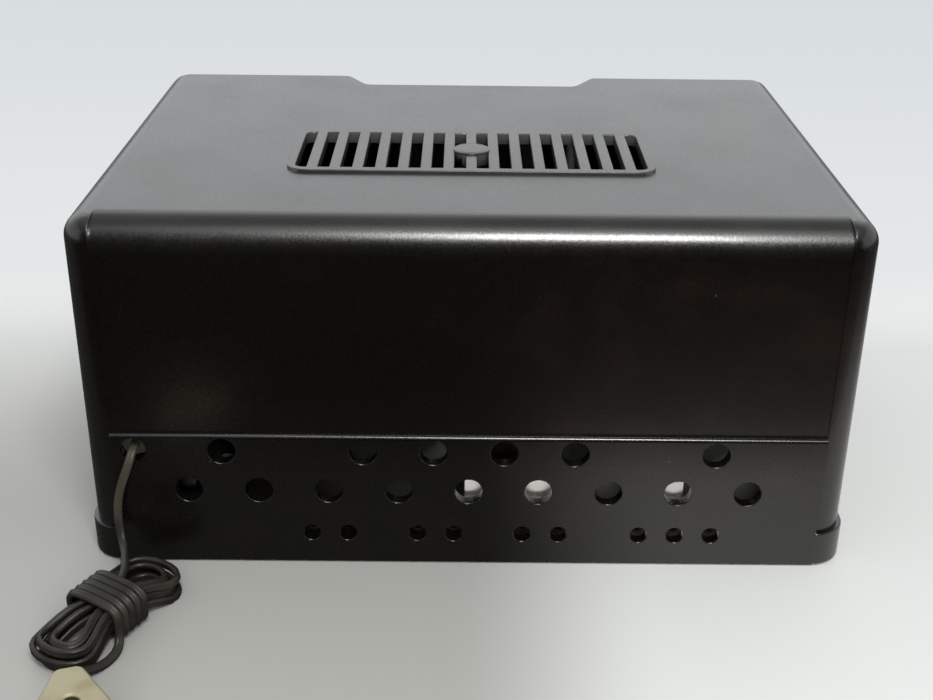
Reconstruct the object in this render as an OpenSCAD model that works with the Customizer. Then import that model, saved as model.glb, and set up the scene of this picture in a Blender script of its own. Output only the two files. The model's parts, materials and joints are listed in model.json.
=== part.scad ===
// Table radio of the 1930s in a dark-brown moulded cabinet, seen from the front along +Y.
// Sizes are millimetres. The origin is on the table, under the middle of the cabinet and its knobs.

/* [Cabinet] */
// Width over the sides
body_w = 396; // [386:1:406]
// Depth from the front pillars to the back
body_d = 282; // [277:1:292]
// Height of the top above the lower edge
body_h = 189; // [187:1:199]
// Thickness of the walls
wall = 4; // [3.5:0.25:4.5]
// Thickness of the top
top_t = 4.5; // [4:0.25:5.5]
// Radius of the upright corners
corner_r = 16; // [12:1:18]
// Radius of the top edge at the sides
side_edge_r = 12; // [9:1:14]
// Radius of the top edge at the back
back_edge_r = 18; // [14:1:22]
// Radius of the top edge at the end posts
post_edge_r = 12; // [9:1:14]
// Width of the end posts of the back
post_w = 15; // [13.5:0.5:16]
// How far the back field lies in from the end posts
field_set = 0.6; // [0.3:0.1:1]
// Gap between the lower edge and the table
foot_lift = 1; // [0.5:0.25:2]
// How far the base rim stands out
rim_out = 2.4; // [1.6:0.1:3]
// Height of the base rim
rim_h = 19; // [15:1:22]

/* [Front recess] */
// Width of the recess halfway into its depth
recess_w = 147; // [144:1:156]
// Depth of the recess
recess_d = 22; // [20:0.5:24]
// Radius of the recess corners
recess_r = 6; // [5:0.5:8]
// Slope of the recess's side walls from the front
recess_slope = 60; // [50:1:75]

/* [Back holes] */
// Height of the hole panel's ledge above the lower edge
ledge_h = 75.5; // [74:0.5:80]
// Radius of the ledge
ledge_r = 2; // [1:0.25:2.25]
// Diameter of a vent hole
vent_d = 14.3; // [12:0.1:15]
// Distance between vent holes in a row
vent_pitch = 36.16; // [34:0.02:37]
// Height of the lower vent row above the lower edge
vent_low = 43.3; // [40:0.1:46]
// Height of the upper vent row above the lower edge
vent_high = 66.1; // [64:0.1:67]
// Diameter of a plug hole
plug_hole_d = 9.2; // [8:0.1:10]
// Height of the plug sockets above the lower edge
socket_h = 17.6; // [16:0.1:19]
// Distance between the sockets of a pair
socket_pitch = 19; // [18:0.5:20]
// Diameter of the cord hole
cord_hole_d = 13; // [11:0.5:14]
// Distance of the cord hole from the cabinet's side
cord_in = 26.4; // [25.5:0.1:28.5]
// Height of the cord hole above the lower edge
cord_h = 66.6; // [65:0.1:67]

/* [Grille] */
// Number of slots
slot_count = 16; // [12:2:16]
// Distance between slots
slot_pitch = 12.05; // [11:0.05:12.2]
// Width of a slot
slot_w = 6.3; // [5:0.1:7]
// Length of a slot
slot_l = 63.5; // [56:0.5:66]
// Distance of the grille's middle from the back
grille_in = 114; // [108:0.5:118]
// Width of the raised plate
plate_w = 196; // [194:1:204]
// Depth of the raised plate
plate_d = 74; // [72:0.5:80]
// Height of the raised plate
plate_h = 1.7; // [1:0.1:2.5]
// Diameter of the plain disc in the grille's middle
disc_d = 20; // [16:0.5:24]

/* [Chassis] */
// Distance of the chassis from the cabinet's side
chassis_in = 33; // [32:0.5:37]
// Height of the chassis tray
chassis_h = 22.5; // [21.5:0.5:23.5]
// Thickness of the chassis sheet
sheet_t = 1.5; // [1:0.1:2]
// Thickness of the base cover
cover_t = 2; // [1.5:0.25:3]
// Diameter of a foot
foot_d = 20; // [16:1:24]
// Diameter of a cabinet screw
screw_d = 3.9; // [3:0.1:4.2]
// Diameter of a plug socket's bore
socket_bore = 4; // [3.8:0.1:4.2]
// Outer diameter of a plug socket
socket_od = 6.8; // [6:0.1:7.4]

/* [Dial and tuning] */
// Distance of the dial's axis below the inside of the top
dial_drop = 65.5; // [63.5:0.5:68.5]
// Radius of the drive disc
disc_r = 48; // [46:0.5:49]
// Radius at which the pulley pinches the disc
pinch_r = 8; // [7:0.25:9]
// Thickness of the drive disc
disc_t = 1.5; // [1:0.1:2]
// Inner radius of the dial window
window_in = 28; // [24:0.5:30]
// Outer radius of the dial window
window_out = 44; // [40:0.5:45]
// Half of the dial window's angle
window_half = 60; // [50:1:66]
// Diameter of the tuning spindle and the rotor shaft
shaft_d = 6.35; // [5.8:0.05:6.5]
// Diameter of the tuning knob
tuning_knob_d = 50; // [44:1:54]
// Radius of the rotor plates
rotor_r = 32; // [28:0.5:33]
// Number of rotor plates
rotor_count = 8; // [6:1:8]
// Distance between rotor plates
rotor_pitch = 5.5; // [5:0.1:5.6]

/* [Controls] */
// Distance of the side knobs from the middle
side_knob_x = 135; // [126:1:140]
// Height of the side knobs above the table
side_knob_z = 64; // [60:0.5:68]
// Diameter of a side knob
side_knob_d = 38; // [34:1:42]
// How far the side knobs stand out of the front
knob_out = 24; // [20:0.5:28]
// Distance of the small controls from the middle
small_x = 47; // [45:0.5:49]
// Height of the small controls above the table
small_z = 43; // [42.5:0.5:45]
// Diameter of the wave-range knob
wave_knob_d = 22; // [18:1:24]
// Diameter of a control spindle
spindle_d = 6; // [5:0.1:6.3]
// Angle of the toggle lever from straight out
toggle_tilt = 17; // [12:1:19]

/* [Supply lead] */
// Diameter of the lead
cord_d = 3.8; // [3.4:0.1:3.8]
// Turns that tie the hank
wraps = 4.5; // [2.5:1:4.5]
// Diameter of a plug pin
pin_d = 4; // [3.8:0.1:4.8]
// Distance between the plug pins
pin_pitch = 19; // [17:0.5:20]
// Length of a plug pin
pin_l = 19; // [16:0.5:20]
// Width of the plug
plug_w = 38; // [34:1:42]
// Length of the plug's body
plug_l = 46; // [40:1:50]
// Height of the plug
plug_h = 18; // [14:0.5:20]

/* [Hidden] */
$fn = 64;
eps = 0.01;
run_fit = 0.05;
seat_fit = 0.02;
hole_fit = 0.3;

// Places of the cabinet's faces
back_y = (body_d + knob_out - rim_out) / 2;
front_y = back_y - body_d;
top_z = foot_lift + body_h;
in_x = body_w / 2 - wall;
in_back = back_y - wall;
in_top = top_z - top_t;
field_x = body_w / 2 - post_w;
recess_y = front_y + recess_d;
recess_in = recess_y + wall;
grille_y = back_y - grille_in;

// Places of the back holes
vent_low_z = foot_lift + vent_low;
vent_high_z = foot_lift + vent_high;
socket_z = foot_lift + socket_h;
cord_x = body_w / 2 - cord_in;
cord_z = foot_lift + cord_h;
socket_x = [72.5 + socket_pitch / 2, 72.5 - socket_pitch / 2, 17.1 + socket_pitch / 2,
            17.1 - socket_pitch / 2, -37.8 + socket_pitch / 2, -37.8 - socket_pitch / 2,
            -108.5 + socket_pitch, -108.5, -108.5 - socket_pitch];

// Places of the chassis
cover_z = foot_lift + 4;
tray_z = cover_z + cover_t;
deck_z = tray_z + chassis_h;
tray_x = body_w / 2 - chassis_in;
tray_front = recess_in + 4.2;
apron_y = in_back - 21.8;
deck_back = in_back - 5;
boss_x = tray_x + 13;
boss_y = [back_y - 40, front_y + 40];
boss_r = 5.5;
boss_h = 30;
lug_t = sheet_t;
strip_t = 3;

// Places of the dial drive, from the front to the back
dial_z = in_top - dial_drop;
window_t = 1;
scale_t = 0.5;
scale_y = recess_in + 2.8;
disc_y = scale_y + scale_t;
disc_back = disc_y + disc_t;
hub_r = 8;
hub_l = 8;
bracket_t = 2;
bracket_y = disc_back + 13.4;
frame_y = bracket_y + bracket_t;
frame_t = 2;
frame_back = frame_y + frame_t + rotor_count * rotor_pitch + 8;
spindle_z = dial_z - disc_r - pinch_r;
flange_r = pinch_r + 3;
flange_t = 1.2;
pulley_gap = 0.3;
knob_gap = 1;
rotor_t = 0.8;
rotor_hub_r = 6;
stator_r = rotor_r + 5;
stator_bar_r = 1.6;
rotor_y = frame_y + frame_t + 6;

// Places of the controls
control_t = 2;
control_y = tray_front + 4;
control_back = control_y + control_t;
bush_r = 5;
bush_l = 5;
pot_r = 15;
pot_l = 14;
vane_r = 15;
vane_pitch = 4;
toggle_r = 6;
toggle_out = 6.8;
toggle_pivot_y = recess_y - 0.8;
lever_r = 1.8;
lever_ball_r = 4.3;

// Places of the parts on the deck
valve_x = [-81, -27, 27, 81];
valve_y = apron_y - 93;
valve_socket_h = 10;
valve_base_h = 26;
valve_base_r = 14.5;
core_bolt_r = 2;
transformer_at = [tray_x - 60, apron_y - 36];
choke_at = [-15, apron_y - 36];
former_at = [45 - tray_x, tray_front + 80];
former_r = 22;
former_h = 75;
board_at = [tray_x - 45, tray_front + 80];
clamp_back = apron_y - 16;

// Route of the lead from the clamp to the hank
hank_start = [175.3, 177, 17];
cord_route = [[171.6, 110, 67.6], [171.6, 114, 67.6], [171.6, 122, 67.6], [171.6, 132, 67.7], [171.6, 142, 67.8],
              [171.8, 149, 67.4], [172.4, 154, 65.6], [173.4, 157.2, 61.8], [175, 158, 57.5], [177, 158, 52.5],
              [179.3, 157.8, 46], [181, 158.3, 38.5], [181.5, 159.2, 31], [181, 160.6, 24.6], [179.6, 163.5, 19.7],
              [177.8, 168, 17.4], [176.1, 173.1, 17], hank_start];

// Hank: its middle, the direction of its long axis, and the place of the plug's nose
hank_mid = [177, 209.4, 0];
hank_turn = 62;
plug_nose = [181.3, 263.9, plug_h / 2];
plug_turn = 107.5;
hank_gap = 0.7;
layers = 3;
layer_turns = 2;
spiral_turns = 1.5;
layer_step = cord_d + hank_gap;
loop_half = 34.5;
loop_step = cord_d + 1;
waist_half = (cord_d + 0.8) / 2;
waist_step = cord_d + 1.5;
bulge = 16;
bulge_step = 6.4;
loop_first = -0.25;
loop_last = 5.62;
wrap_lift = cord_d + 1.2;
wrap_a = 12.3 + cord_d;
wrap_b = (layers - 1) * layer_step / 2 + wrap_lift;
wrap_z = cord_d / 2 + wrap_b + eps;
wrap_step = cord_d + 0.75;
wrap_start = -wraps * wrap_step / 2;
rings_a_turn = 24;

// Shapes that repeat

// A block between two corners
module block(low, high) {
  translate(low) cube(high - low);
}

// A cylinder along Y from one depth to another
module rod(x, z, r, from, to) {
  translate([x, to, z]) rotate([90, 0, 0]) cylinder(r = r, h = to - from);
}

// An outline in X and Z, made thick along Y from one depth to another
module upright(from, to) {
  translate([0, to, 0]) rotate([90, 0, 0]) linear_extrude(to - from) children();
}

// An outline in Y and Z, made thick along X over a half width
module across(half) {
  translate([-half, 0, 0]) rotate([90, 0, 90]) linear_extrude(2 * half) children();
}

// A rectangle with round corners between two corners
module round_rect(low, high, r) {
  translate([low.x + r, low.y]) square([high.x - low.x - 2 * r, high.y - low.y]);
  translate([low.x, low.y + r]) square([high.x - low.x, high.y - low.y - 2 * r]);
  for (x = [low.x + r, high.x - r])
    for (y = [low.y + r, high.y - r])
      translate([x, y]) circle(r);
}

// A ring's sector about the vertical
module sector(inner, outer, half) {
  reach = 4 * outer / cos(half);
  intersection() {
    difference() {
      circle(outer);
      circle(inner);
    }
    polygon([[0, 0], [reach * sin(half), reach * cos(half)], [-reach * sin(half), reach * cos(half)]]);
  }
}

// A half disc on the side that the turn gives, with a round hole for its hub
module half_disc(r, hole, set) {
  difference() {
    circle(r);
    circle(hole);
    translate([-2 * r, -set]) square([4 * r, 3 * r]);
  }
}

// Cabinet

// Middles of the recess's outer and inner corner arcs
recess_run = (2 * recess_r + (recess_d - 2 * recess_r) * cos(recess_slope)) / sin(recess_slope);
lip_mid = [(recess_w + recess_run) / 2, front_y + recess_r];
nook_mid = [(recess_w - recess_run) / 2, recess_y - recess_r];
arc_steps = 10;

// Points on an arc from one angle to another
function arc(mid, r, from, to) =
  [for (i = [0:arc_steps]) let (a = from + (to - from) * i / arc_steps) mid + r * [cos(a), sin(a)]];

// Plan of the cabinet, moved in from its outside by a distance
module plan(inset) {
  face = front_y + inset;
  side = concat([[lip_mid.x, face - recess_d]],
                arc(lip_mid, recess_r - inset, 270, 270 - recess_slope),
                arc(nook_mid, recess_r + inset, 90 - recess_slope, 90));
  difference() {
    round_rect([-body_w / 2 + inset, face], [body_w / 2 - inset, back_y - inset], corner_r - inset);
    polygon(concat(side, [for (i = [len(side) - 1:-1:0]) [-side[i].x, side[i].y]]));
  }
}

// Front view of the cabinet with its round top edges
module front_view(half, top, r) {
  translate([-half, -eps]) square([2 * half, top - r + eps]);
  translate([-half + r, -eps]) square([2 * half - 2 * r, top + eps]);
  for (x = [-half + r, half - r])
    translate([x, top - r]) circle(r);
}

// Side view of the cabinet with its round back edge
module side_view(back, top, r) {
  ahead = front_y - rim_out - 1;
  translate([ahead, -eps]) square([back - r - ahead, top + eps]);
  translate([ahead, -eps]) square([back - ahead, top - r + eps]);
  translate([back - r, top - r]) circle(r);
}

// Block outside the round of an upper back corner
module corner_waste() {
  r = side_edge_r;
  step = 0.02;
  mid = [body_w / 2 - corner_r, back_y - corner_r];
  side = concat([[0, top_z - r - 2], [corner_r + step, top_z - r - 2]],
                arc([corner_r - r + step, top_z - r], r, 0, 84),
                [[corner_r - r, top_z + 3], [0, top_z + 3]]);
  difference() {
    block([mid.x + 0.5, mid.y + 0.5, top_z - r + 0.5], [body_w / 2 + 1, back_y + 1, top_z + 1]);
    translate([mid.x, mid.y, 0]) rotate_extrude() polygon(side);
  }
}

module cabinet_outside() {
  difference() {
    cabinet_mitred();
    for (m = [0, 1])
      mirror([m, 0, 0]) corner_waste();
  }
}

module cabinet_mitred() {
  intersection() {
    translate([0, 0, foot_lift]) linear_extrude(body_h) plan(0);
    upright(front_y - 1, back_y + 1) front_view(body_w / 2, top_z, side_edge_r);
    union() {
      across(field_x) side_view(back_y - field_set, top_z, back_edge_r);
      for (m = [0, 1])
        mirror([m, 0, 0]) translate([field_x + post_w / 2, 0, 0])
          across(post_w / 2) side_view(back_y, top_z, post_edge_r);
    }
  }
}

module cabinet_inside() {
  intersection() {
    translate([0, 0, -1]) linear_extrude(in_top + 1) plan(wall);
    upright(front_y, back_y) front_view(in_x, in_top, side_edge_r - wall);
    across(in_x + 1) side_view(in_back, in_top, back_edge_r - wall);
  }
}

module hole_panel() {
  ledge_z = foot_lift + ledge_h;
  face = back_y + rim_out;
  across(field_x) {
    translate([in_back, foot_lift]) square([face - in_back, ledge_h - ledge_r]);
    translate([in_back, foot_lift]) square([face - in_back - ledge_r, ledge_h]);
    translate([face - ledge_r, ledge_z - ledge_r]) circle(ledge_r);
  }
}

module slot_outline(i) {
  last = slot_count - 1;
  x = (i - last / 2) * slot_pitch;
  end_r = slot_w * 0.75;
  translate([x, grille_y]) mirror([i == 0 ? 0 : 1, 0]) {
    if (i == 0 || i == last) {
      translate([-slot_w / 2 + end_r, -slot_l / 2]) square([slot_w - end_r, slot_l]);
      translate([-slot_w / 2, -slot_l / 2 + end_r]) square([slot_w, slot_l - 2 * end_r]);
      for (y = [-slot_l / 2 + end_r, slot_l / 2 - end_r])
        intersection() {
          translate([-slot_w / 2 + end_r, y]) circle(end_r);
          translate([-slot_w / 2, y - end_r]) square([slot_w, 2 * end_r]);
        }
    } else {
      square([slot_w, slot_l], center = true);
    }
  }
}

module back_holes() {
  from = in_back - 1;
  to = back_y + rim_out + 1;
  for (i = [-4:4])
    rod(i * vent_pitch, vent_low_z, vent_d / 2, from, to);
  for (i = [-3.5, -1.5, -0.5, 0.5, 1.5, 3.5])
    rod(i * vent_pitch, vent_high_z, vent_d / 2, from, to);
  for (x = socket_x)
    rod(x, socket_z, plug_hole_d / 2, from, to);
  rod(cord_x, cord_z, cord_hole_d / 2, from, to);
}

module front_holes() {
  upright(recess_y - 1, recess_in + 1) translate([0, dial_z]) sector(window_in, window_out, window_half);
  rod(0, spindle_z, shaft_d / 2 + run_fit, recess_y - 1, recess_in + 1);
  rod(-small_x, small_z, spindle_d / 2 + hole_fit, recess_y - 1, recess_in + 1);
  rod(small_x, small_z, toggle_r + run_fit, recess_y - 1, recess_in + 1);
  for (x = [-side_knob_x, side_knob_x])
    rod(x, side_knob_z, spindle_d / 2 + hole_fit, front_y - 1, front_y + wall + 1);
}

module screw_bosses() {
  for (x = [-boss_x, boss_x])
    for (y = boss_y) {
      translate([x, y, tray_z + lug_t]) cylinder(r = boss_r, h = boss_h);
      side = sign(x);
      block([min(x, side * (in_x + 1)), y - wall / 2, tray_z + lug_t],
            [max(x, side * (in_x + 1)), y + wall / 2, tray_z + lug_t + boss_h]);
    }
}

module moulding() {
  difference() {
    union() {
      difference() {
        union() {
          cabinet_outside();
          translate([0, 0, foot_lift]) linear_extrude(rim_h) plan(-rim_out);
          translate([0, 0, in_top]) linear_extrude(top_t + plate_h)
            round_rect([-plate_w / 2, grille_y - plate_d / 2], [plate_w / 2, grille_y + plate_d / 2], 11);
          hole_panel();
        }
        cabinet_inside();
        translate([0, 0, in_top - 1]) linear_extrude(top_t + plate_h + 2)
          for (i = [0:slot_count - 1]) slot_outline(i);
        back_holes();
        front_holes();
      }
      translate([0, grille_y, in_top]) cylinder(d = disc_d, h = top_t + plate_h + 0.8);
      screw_bosses();
    }
    for (x = [-boss_x, boss_x])
      for (y = boss_y)
        translate([x, y, tray_z - 1]) cylinder(d = screw_d + 2 * run_fit, h = 1 + lug_t + 16);
  }
}

// Part of the back below the ledge, between the end posts
module panel_place() {
  block([-field_x, back_y - corner_r, foot_lift - 1], [field_x, back_y + rim_out + 1, foot_lift + ledge_h]);
}

module housing() {
  color([0.13, 0.1, 0.09]) difference() {
    moulding();
    panel_place();
  }
}

module back_panel() {
  color([0.15, 0.11, 0.1]) intersection() {
    moulding();
    panel_place();
  }
}

module feet() {
  color([0.08, 0.08, 0.08])
    for (x = [-tray_x + 25, tray_x - 25])
      for (y = [tray_front + 15, apron_y - 15])
        translate([x, y, 0]) cylinder(d = foot_d, h = cover_z);
}

module base_cover() {
  color([0.35, 0.22, 0.13])
    block([-tray_x, tray_front, cover_z], [tray_x, apron_y, tray_z]);
}

module cabinet_screws() {
  color([0.55, 0.55, 0.53])
    for (x = [-boss_x, boss_x])
      for (y = boss_y)
        translate([x, y, tray_z]) {
          translate([0, 0, -2.5]) cylinder(r = screw_d / 2 + 1.8, h = 2.5);
          cylinder(d = screw_d, h = lug_t + 14);
        }
}

// Chassis and the sockets at its back

module chassis() {
  color([0.55, 0.55, 0.52]) difference() {
    union() {
      block([-tray_x, tray_front, deck_z - sheet_t], [tray_x, deck_back, deck_z]);
      block([-tray_x, tray_front, tray_z], [tray_x, tray_front + sheet_t, deck_z]);
      block([-tray_x, apron_y - sheet_t, tray_z], [tray_x, apron_y, deck_z]);
      for (m = [0, 1])
        mirror([m, 0, 0]) {
          block([tray_x - sheet_t, tray_front, tray_z], [tray_x, apron_y, deck_z]);
          for (y = boss_y)
            block([tray_x - sheet_t, y - 8, tray_z], [boss_x + 6.5, y + 8, tray_z + lug_t]);
        }
    }
    for (x = [-boss_x, boss_x])
      for (y = boss_y)
        translate([x, y, tray_z - 1]) cylinder(d = screw_d + 2 * hole_fit, h = lug_t + 2);
    for (x = socket_x)
      rod(x, socket_z, socket_od / 2 + hole_fit, apron_y - sheet_t - 1, apron_y + 1);
  }
}

module socket_strip() {
  strip_x = max(socket_x) + 12;
  color([0.42, 0.24, 0.12]) difference() {
    block([min(socket_x) - 12, apron_y, tray_z + 2], [strip_x, apron_y + strip_t, deck_z - sheet_t - 0.5]);
    for (x = socket_x)
      rod(x, socket_z, socket_od / 2 + run_fit, apron_y - 1, apron_y + strip_t + 1);
  }
}

module plug_sockets() {
  mouth = in_back - 1.8;
  color([0.72, 0.56, 0.28])
    for (x = socket_x)
      difference() {
        union() {
          rod(x, socket_z, socket_od / 2, apron_y - 8, mouth);
          rod(x, socket_z, socket_od / 2 + 1.4, apron_y + strip_t, apron_y + strip_t + 2);
        }
        rod(x, socket_z, socket_bore / 2, mouth - 20, mouth + 1);
      }
}

module fuse_holder() {
  color([0.9, 0.88, 0.83]) difference() {
    block([-46, apron_y - 6, deck_z], [2, apron_y + 12, deck_z + 14.5]);
    block([-40, apron_y, deck_z + 9], [-4, apron_y + 6, deck_z + 15.5]);
  }
}

module aerial_insulator() {
  color([0.9, 0.88, 0.83]) {
    block([-114, apron_y - 4, deck_z], [-97, apron_y + 12, deck_z + 12]);
    translate([-105.5, apron_y + 4, deck_z + 12]) cylinder(r = 6, h = 5);
  }
}

module mains_terminal() {
  color([0.9, 0.88, 0.83])
    difference() {
      block([tray_x - 19, apron_y - 7, deck_z], [tray_x + 2, apron_y + 5, deck_z + 34]);
      for (x = [tray_x - 14, tray_x - 3])
        translate([x, apron_y - 1, deck_z + 26]) cylinder(r = 2.5, h = 9);
    }
}

module cord_clamp() {
  color([0.12, 0.11, 0.1]) {
    block([tray_x - 15, clamp_back - 10, deck_z], [tray_x - 1, clamp_back, deck_z + 6]);
    block([tray_x - 8, clamp_back - 10, deck_z + 6], [tray_x - 1, clamp_back, cord_z + 6]);
    block([tray_x - 1, clamp_back - 10, cord_z - 6], [cord_x, clamp_back, cord_z + 6]);
    difference() {
      rod(cord_x, cord_z, 6, clamp_back - 10, clamp_back);
      block([cord_x - 8, clamp_back - 11, cord_z - 8], [cord_x, clamp_back + 1, cord_z + 8]);
    }
  }
}

// Iron-cored parts

// Laminated core that stands on the deck, with a window on each side of its middle leg
module laminations(at, w, h, stack) {
  leg = w / 3;
  translate([at.x, at.y, deck_z]) upright(-stack / 2, stack / 2) difference() {
    translate([-w / 2, 0]) square([w, h]);
    for (x = [-w / 4, w / 4])
      translate([x - w / 12, leg / 2]) square([w / 6, h - leg]);
  }
}

// Wound coil on the middle leg of a core
module core_coil(at, w, h, stack) {
  leg = w / 3;
  window = w / 6;
  fit = 0.2;
  low = deck_z + leg / 2 + fit;
  high = deck_z + h - leg / 2 - fit;
  out_x = leg / 2 + window - 2 * fit;
  difference() {
    block([at.x - out_x, at.y - stack / 2 - window, low], [at.x + out_x, at.y + stack / 2 + window, high]);
    block([at.x - leg / 2 - fit, at.y - stack / 2 - fit, low - 1],
          [at.x + leg / 2 + fit, at.y + stack / 2 + fit, high + 1]);
  }
}

transformer_w = 66;
transformer_h = 56;
transformer_stack = 30;
choke_w = 54;
choke_h = 45;
choke_stack = 22;

// Places of a core's corner bolts
function bolt_places(at, w, h) = [for (x = [at.x - w * 5 / 12, at.x + w * 5 / 12])
                                   for (z = [deck_z + w / 12, deck_z + h - w / 12]) [x, z]];

module transformer_core() {
  color([0.25, 0.23, 0.22]) difference() {
    laminations(transformer_at, transformer_w, transformer_h, transformer_stack);
    for (p = bolt_places(transformer_at, transformer_w, transformer_h))
      rod(p.x, p.y, core_bolt_r + run_fit, transformer_at.y - 50, transformer_at.y + 50);
  }
}

module transformer_coil() {
  color([0.55, 0.38, 0.2]) core_coil(transformer_at, transformer_w, transformer_h, transformer_stack);
}

module transformer_bolts() {
  half = transformer_stack / 2;
  color([0.6, 0.6, 0.58])
    for (p = bolt_places(transformer_at, transformer_w, transformer_h)) {
      rod(p.x, p.y, core_bolt_r, transformer_at.y - half, transformer_at.y + half);
      rod(p.x, p.y, core_bolt_r + 2, transformer_at.y + half, transformer_at.y + half + 2.5);
      rod(p.x, p.y, core_bolt_r + 2, transformer_at.y - half - 2.5, transformer_at.y - half);
    }
}

module choke_core() {
  color([0.25, 0.23, 0.22]) laminations(choke_at, choke_w, choke_h, choke_stack);
}

module choke_coil() {
  color([0.5, 0.33, 0.18]) core_coil(choke_at, choke_w, choke_h, choke_stack);
}

module block_condenser() {
  color([0.6, 0.6, 0.58]) {
    low = [5 - tray_x, apron_y - 54, deck_z];
    block(low, low + [90, 40, 55]);
    for (x = [20, 45, 70])
      translate(low + [x, 20, 55]) cylinder(r = 3, h = 6);
  }
}

// Valves

// Outline of a valve's glass from its base up, moved in by the glass's thickness
function glass(inset) = [[valve_base_r - 1 - inset, 0], [17 - inset, 12], [21.5 - inset, 28], [21.5 - inset, 37],
                         [15.5 - inset, 52], [13.5 - inset, 60], [9 - inset, 66 - inset], [0, 68.5 - inset]];

module at_valves(up) {
  for (x = valve_x)
    translate([x, valve_y, deck_z + up]) children();
}

module valve_sockets() {
  color([0.14, 0.11, 0.1]) at_valves(0) {
    cylinder(r = valve_base_r + 2.5, h = valve_socket_h - 4);
    translate([0, 0, valve_socket_h - 4]) cylinder(r = valve_base_r, h = 4);
  }
}

module valve_bases() {
  color([0.1, 0.08, 0.08]) at_valves(valve_socket_h) cylinder(r = valve_base_r, h = valve_base_h);
}

module valve_bulbs() {
  outer = glass(0);
  inner = glass(0.8);
  last = len(inner) - 1;
  color([0.75, 0.78, 0.76, 0.5]) at_valves(valve_socket_h + valve_base_h)
    rotate_extrude() polygon(concat(outer, [for (i = [last:-1:0]) inner[i]]));
}

module valve_electrodes() {
  color([0.3, 0.3, 0.31]) at_valves(valve_socket_h + valve_base_h) {
    cylinder(r = 5, h = 16);
    translate([0, 0, 16]) cylinder(r = 9, h = 30);
    translate([0, 0, 46]) cylinder(r = 4, h = 8);
  }
}

// Coil and small parts

module coil_former() {
  color([0.45, 0.28, 0.16]) translate([former_at.x, former_at.y, deck_z]) difference() {
    cylinder(r = former_r, h = former_h);
    translate([0, 0, 3]) cylinder(r = former_r - 2, h = former_h);
  }
}

module coil_winding() {
  color([0.35, 0.5, 0.25]) translate([former_at.x, former_at.y, deck_z + 15]) difference() {
    cylinder(r = former_r + 1.2, h = former_h - 30);
    translate([0, 0, -1]) cylinder(r = former_r + seat_fit, h = former_h);
  }
}

module tag_board() {
  color([0.4, 0.24, 0.13])
    block([board_at.x - 34, board_at.y - 1.5, deck_z], [board_at.x + 34, board_at.y + 1.5, deck_z + 46]);
}

module resistors() {
  color([0.62, 0.3, 0.18])
    for (i = [-2:2])
      translate([board_at.x + 13 * i, board_at.y - 1.5 - 3.5, deck_z + 10]) {
        cylinder(r = 3.5, h = 26);
        block([-1, 0, 3], [1, 3.5, 23]);
      }
}

// Tuning capacitor and its drive

module dial_bracket() {
  low_x = 28;
  high_x = 46;
  color([0.58, 0.58, 0.55]) difference() {
    union() {
      block([-low_x, bracket_y, deck_z], [low_x, frame_y, in_top - 5]);
      block([-high_x, bracket_y, dial_z - rotor_r - 5], [high_x, frame_y, in_top - 5]);
      block([-low_x, frame_y, deck_z], [low_x, frame_y + 24, deck_z + bracket_t]);
    }
    rod(0, dial_z, hub_r, bracket_y - 1, frame_y + 1);
    rod(0, spindle_z, shaft_d / 2 + run_fit, bracket_y - 1, frame_y + 1);
  }
}

module capacitor_frame() {
  low = dial_z - rotor_r - 5;
  high = dial_z + rotor_r + 5;
  left = -stator_r - 5;
  right = rotor_r + 4;
  color([0.62, 0.62, 0.6]) difference() {
    union() {
      block([left, frame_y, low], [right, frame_y + frame_t, high]);
      block([left, frame_back - frame_t, low], [right, frame_back, high]);
      block([left, frame_y, low - frame_t], [right, frame_back, low]);
      for (x = [-24, 24])
        translate([x, frame_back - 6, deck_z]) cylinder(r = 4, h = low - frame_t - deck_z);
    }
    rod(0, dial_z, shaft_d / 2 + run_fit, frame_y - 1, frame_back + 1);
  }
}

// The stator lies on the -X side, and its bars outside the rotor's sweep
bar_in = 4;
bar_places = [for (a = [150, 210]) [cos(a), sin(a)] * (rotor_r + 3)];

module stator_plates() {
  from = frame_y + frame_t + bar_in;
  to = frame_back - frame_t - bar_in;
  color([0.78, 0.78, 0.75]) {
    for (i = [0:rotor_count - 2])
      translate([0, rotor_y + (i + 0.5) * rotor_pitch, dial_z])
        upright(-rotor_t / 2, rotor_t / 2) rotate(-90) half_disc(stator_r, rotor_hub_r + 3, 1);
    for (p = bar_places)
      rod(p.x, dial_z + p.y, stator_bar_r, from, to);
  }
}

module stator_insulators() {
  color([0.9, 0.88, 0.83])
    for (p = bar_places) {
      rod(p.x, dial_z + p.y, 3.5, frame_y + frame_t, frame_y + frame_t + bar_in);
      rod(p.x, dial_z + p.y, 3.5, frame_back - frame_t - bar_in, frame_back - frame_t);
    }
}

module rotor_shaft() {
  color([0.7, 0.7, 0.68]) rod(0, dial_z, shaft_d / 2, disc_y, frame_back + 3);
}

module rotor_plates() {
  color([0.75, 0.6, 0.32]) difference() {
    union() {
      rod(0, dial_z, rotor_hub_r, rotor_y - 3, rotor_y + (rotor_count - 1) * rotor_pitch + 3);
      for (i = [0:rotor_count - 1])
        translate([0, rotor_y + i * rotor_pitch, dial_z])
          upright(-rotor_t / 2, rotor_t / 2) half_disc(rotor_r, rotor_hub_r - 1, 0);
    }
    rod(0, dial_z, shaft_d / 2 + seat_fit, frame_y, frame_back);
  }
}

module drive_disc() {
  color([0.72, 0.58, 0.32]) difference() {
    union() {
      rod(0, dial_z, disc_r, disc_y, disc_back);
      rod(0, dial_z, hub_r, disc_back, disc_back + hub_l);
    }
    rod(0, dial_z, shaft_d / 2 + seat_fit, disc_y - 1, disc_back + hub_l + 1);
  }
}

module dial_scale() {
  color([0.9, 0.85, 0.7]) difference() {
    rod(0, dial_z, disc_r - 4, scale_y, disc_y);
    rod(0, dial_z, window_in - 12, scale_y - 1, disc_y + 1);
  }
}

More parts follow.
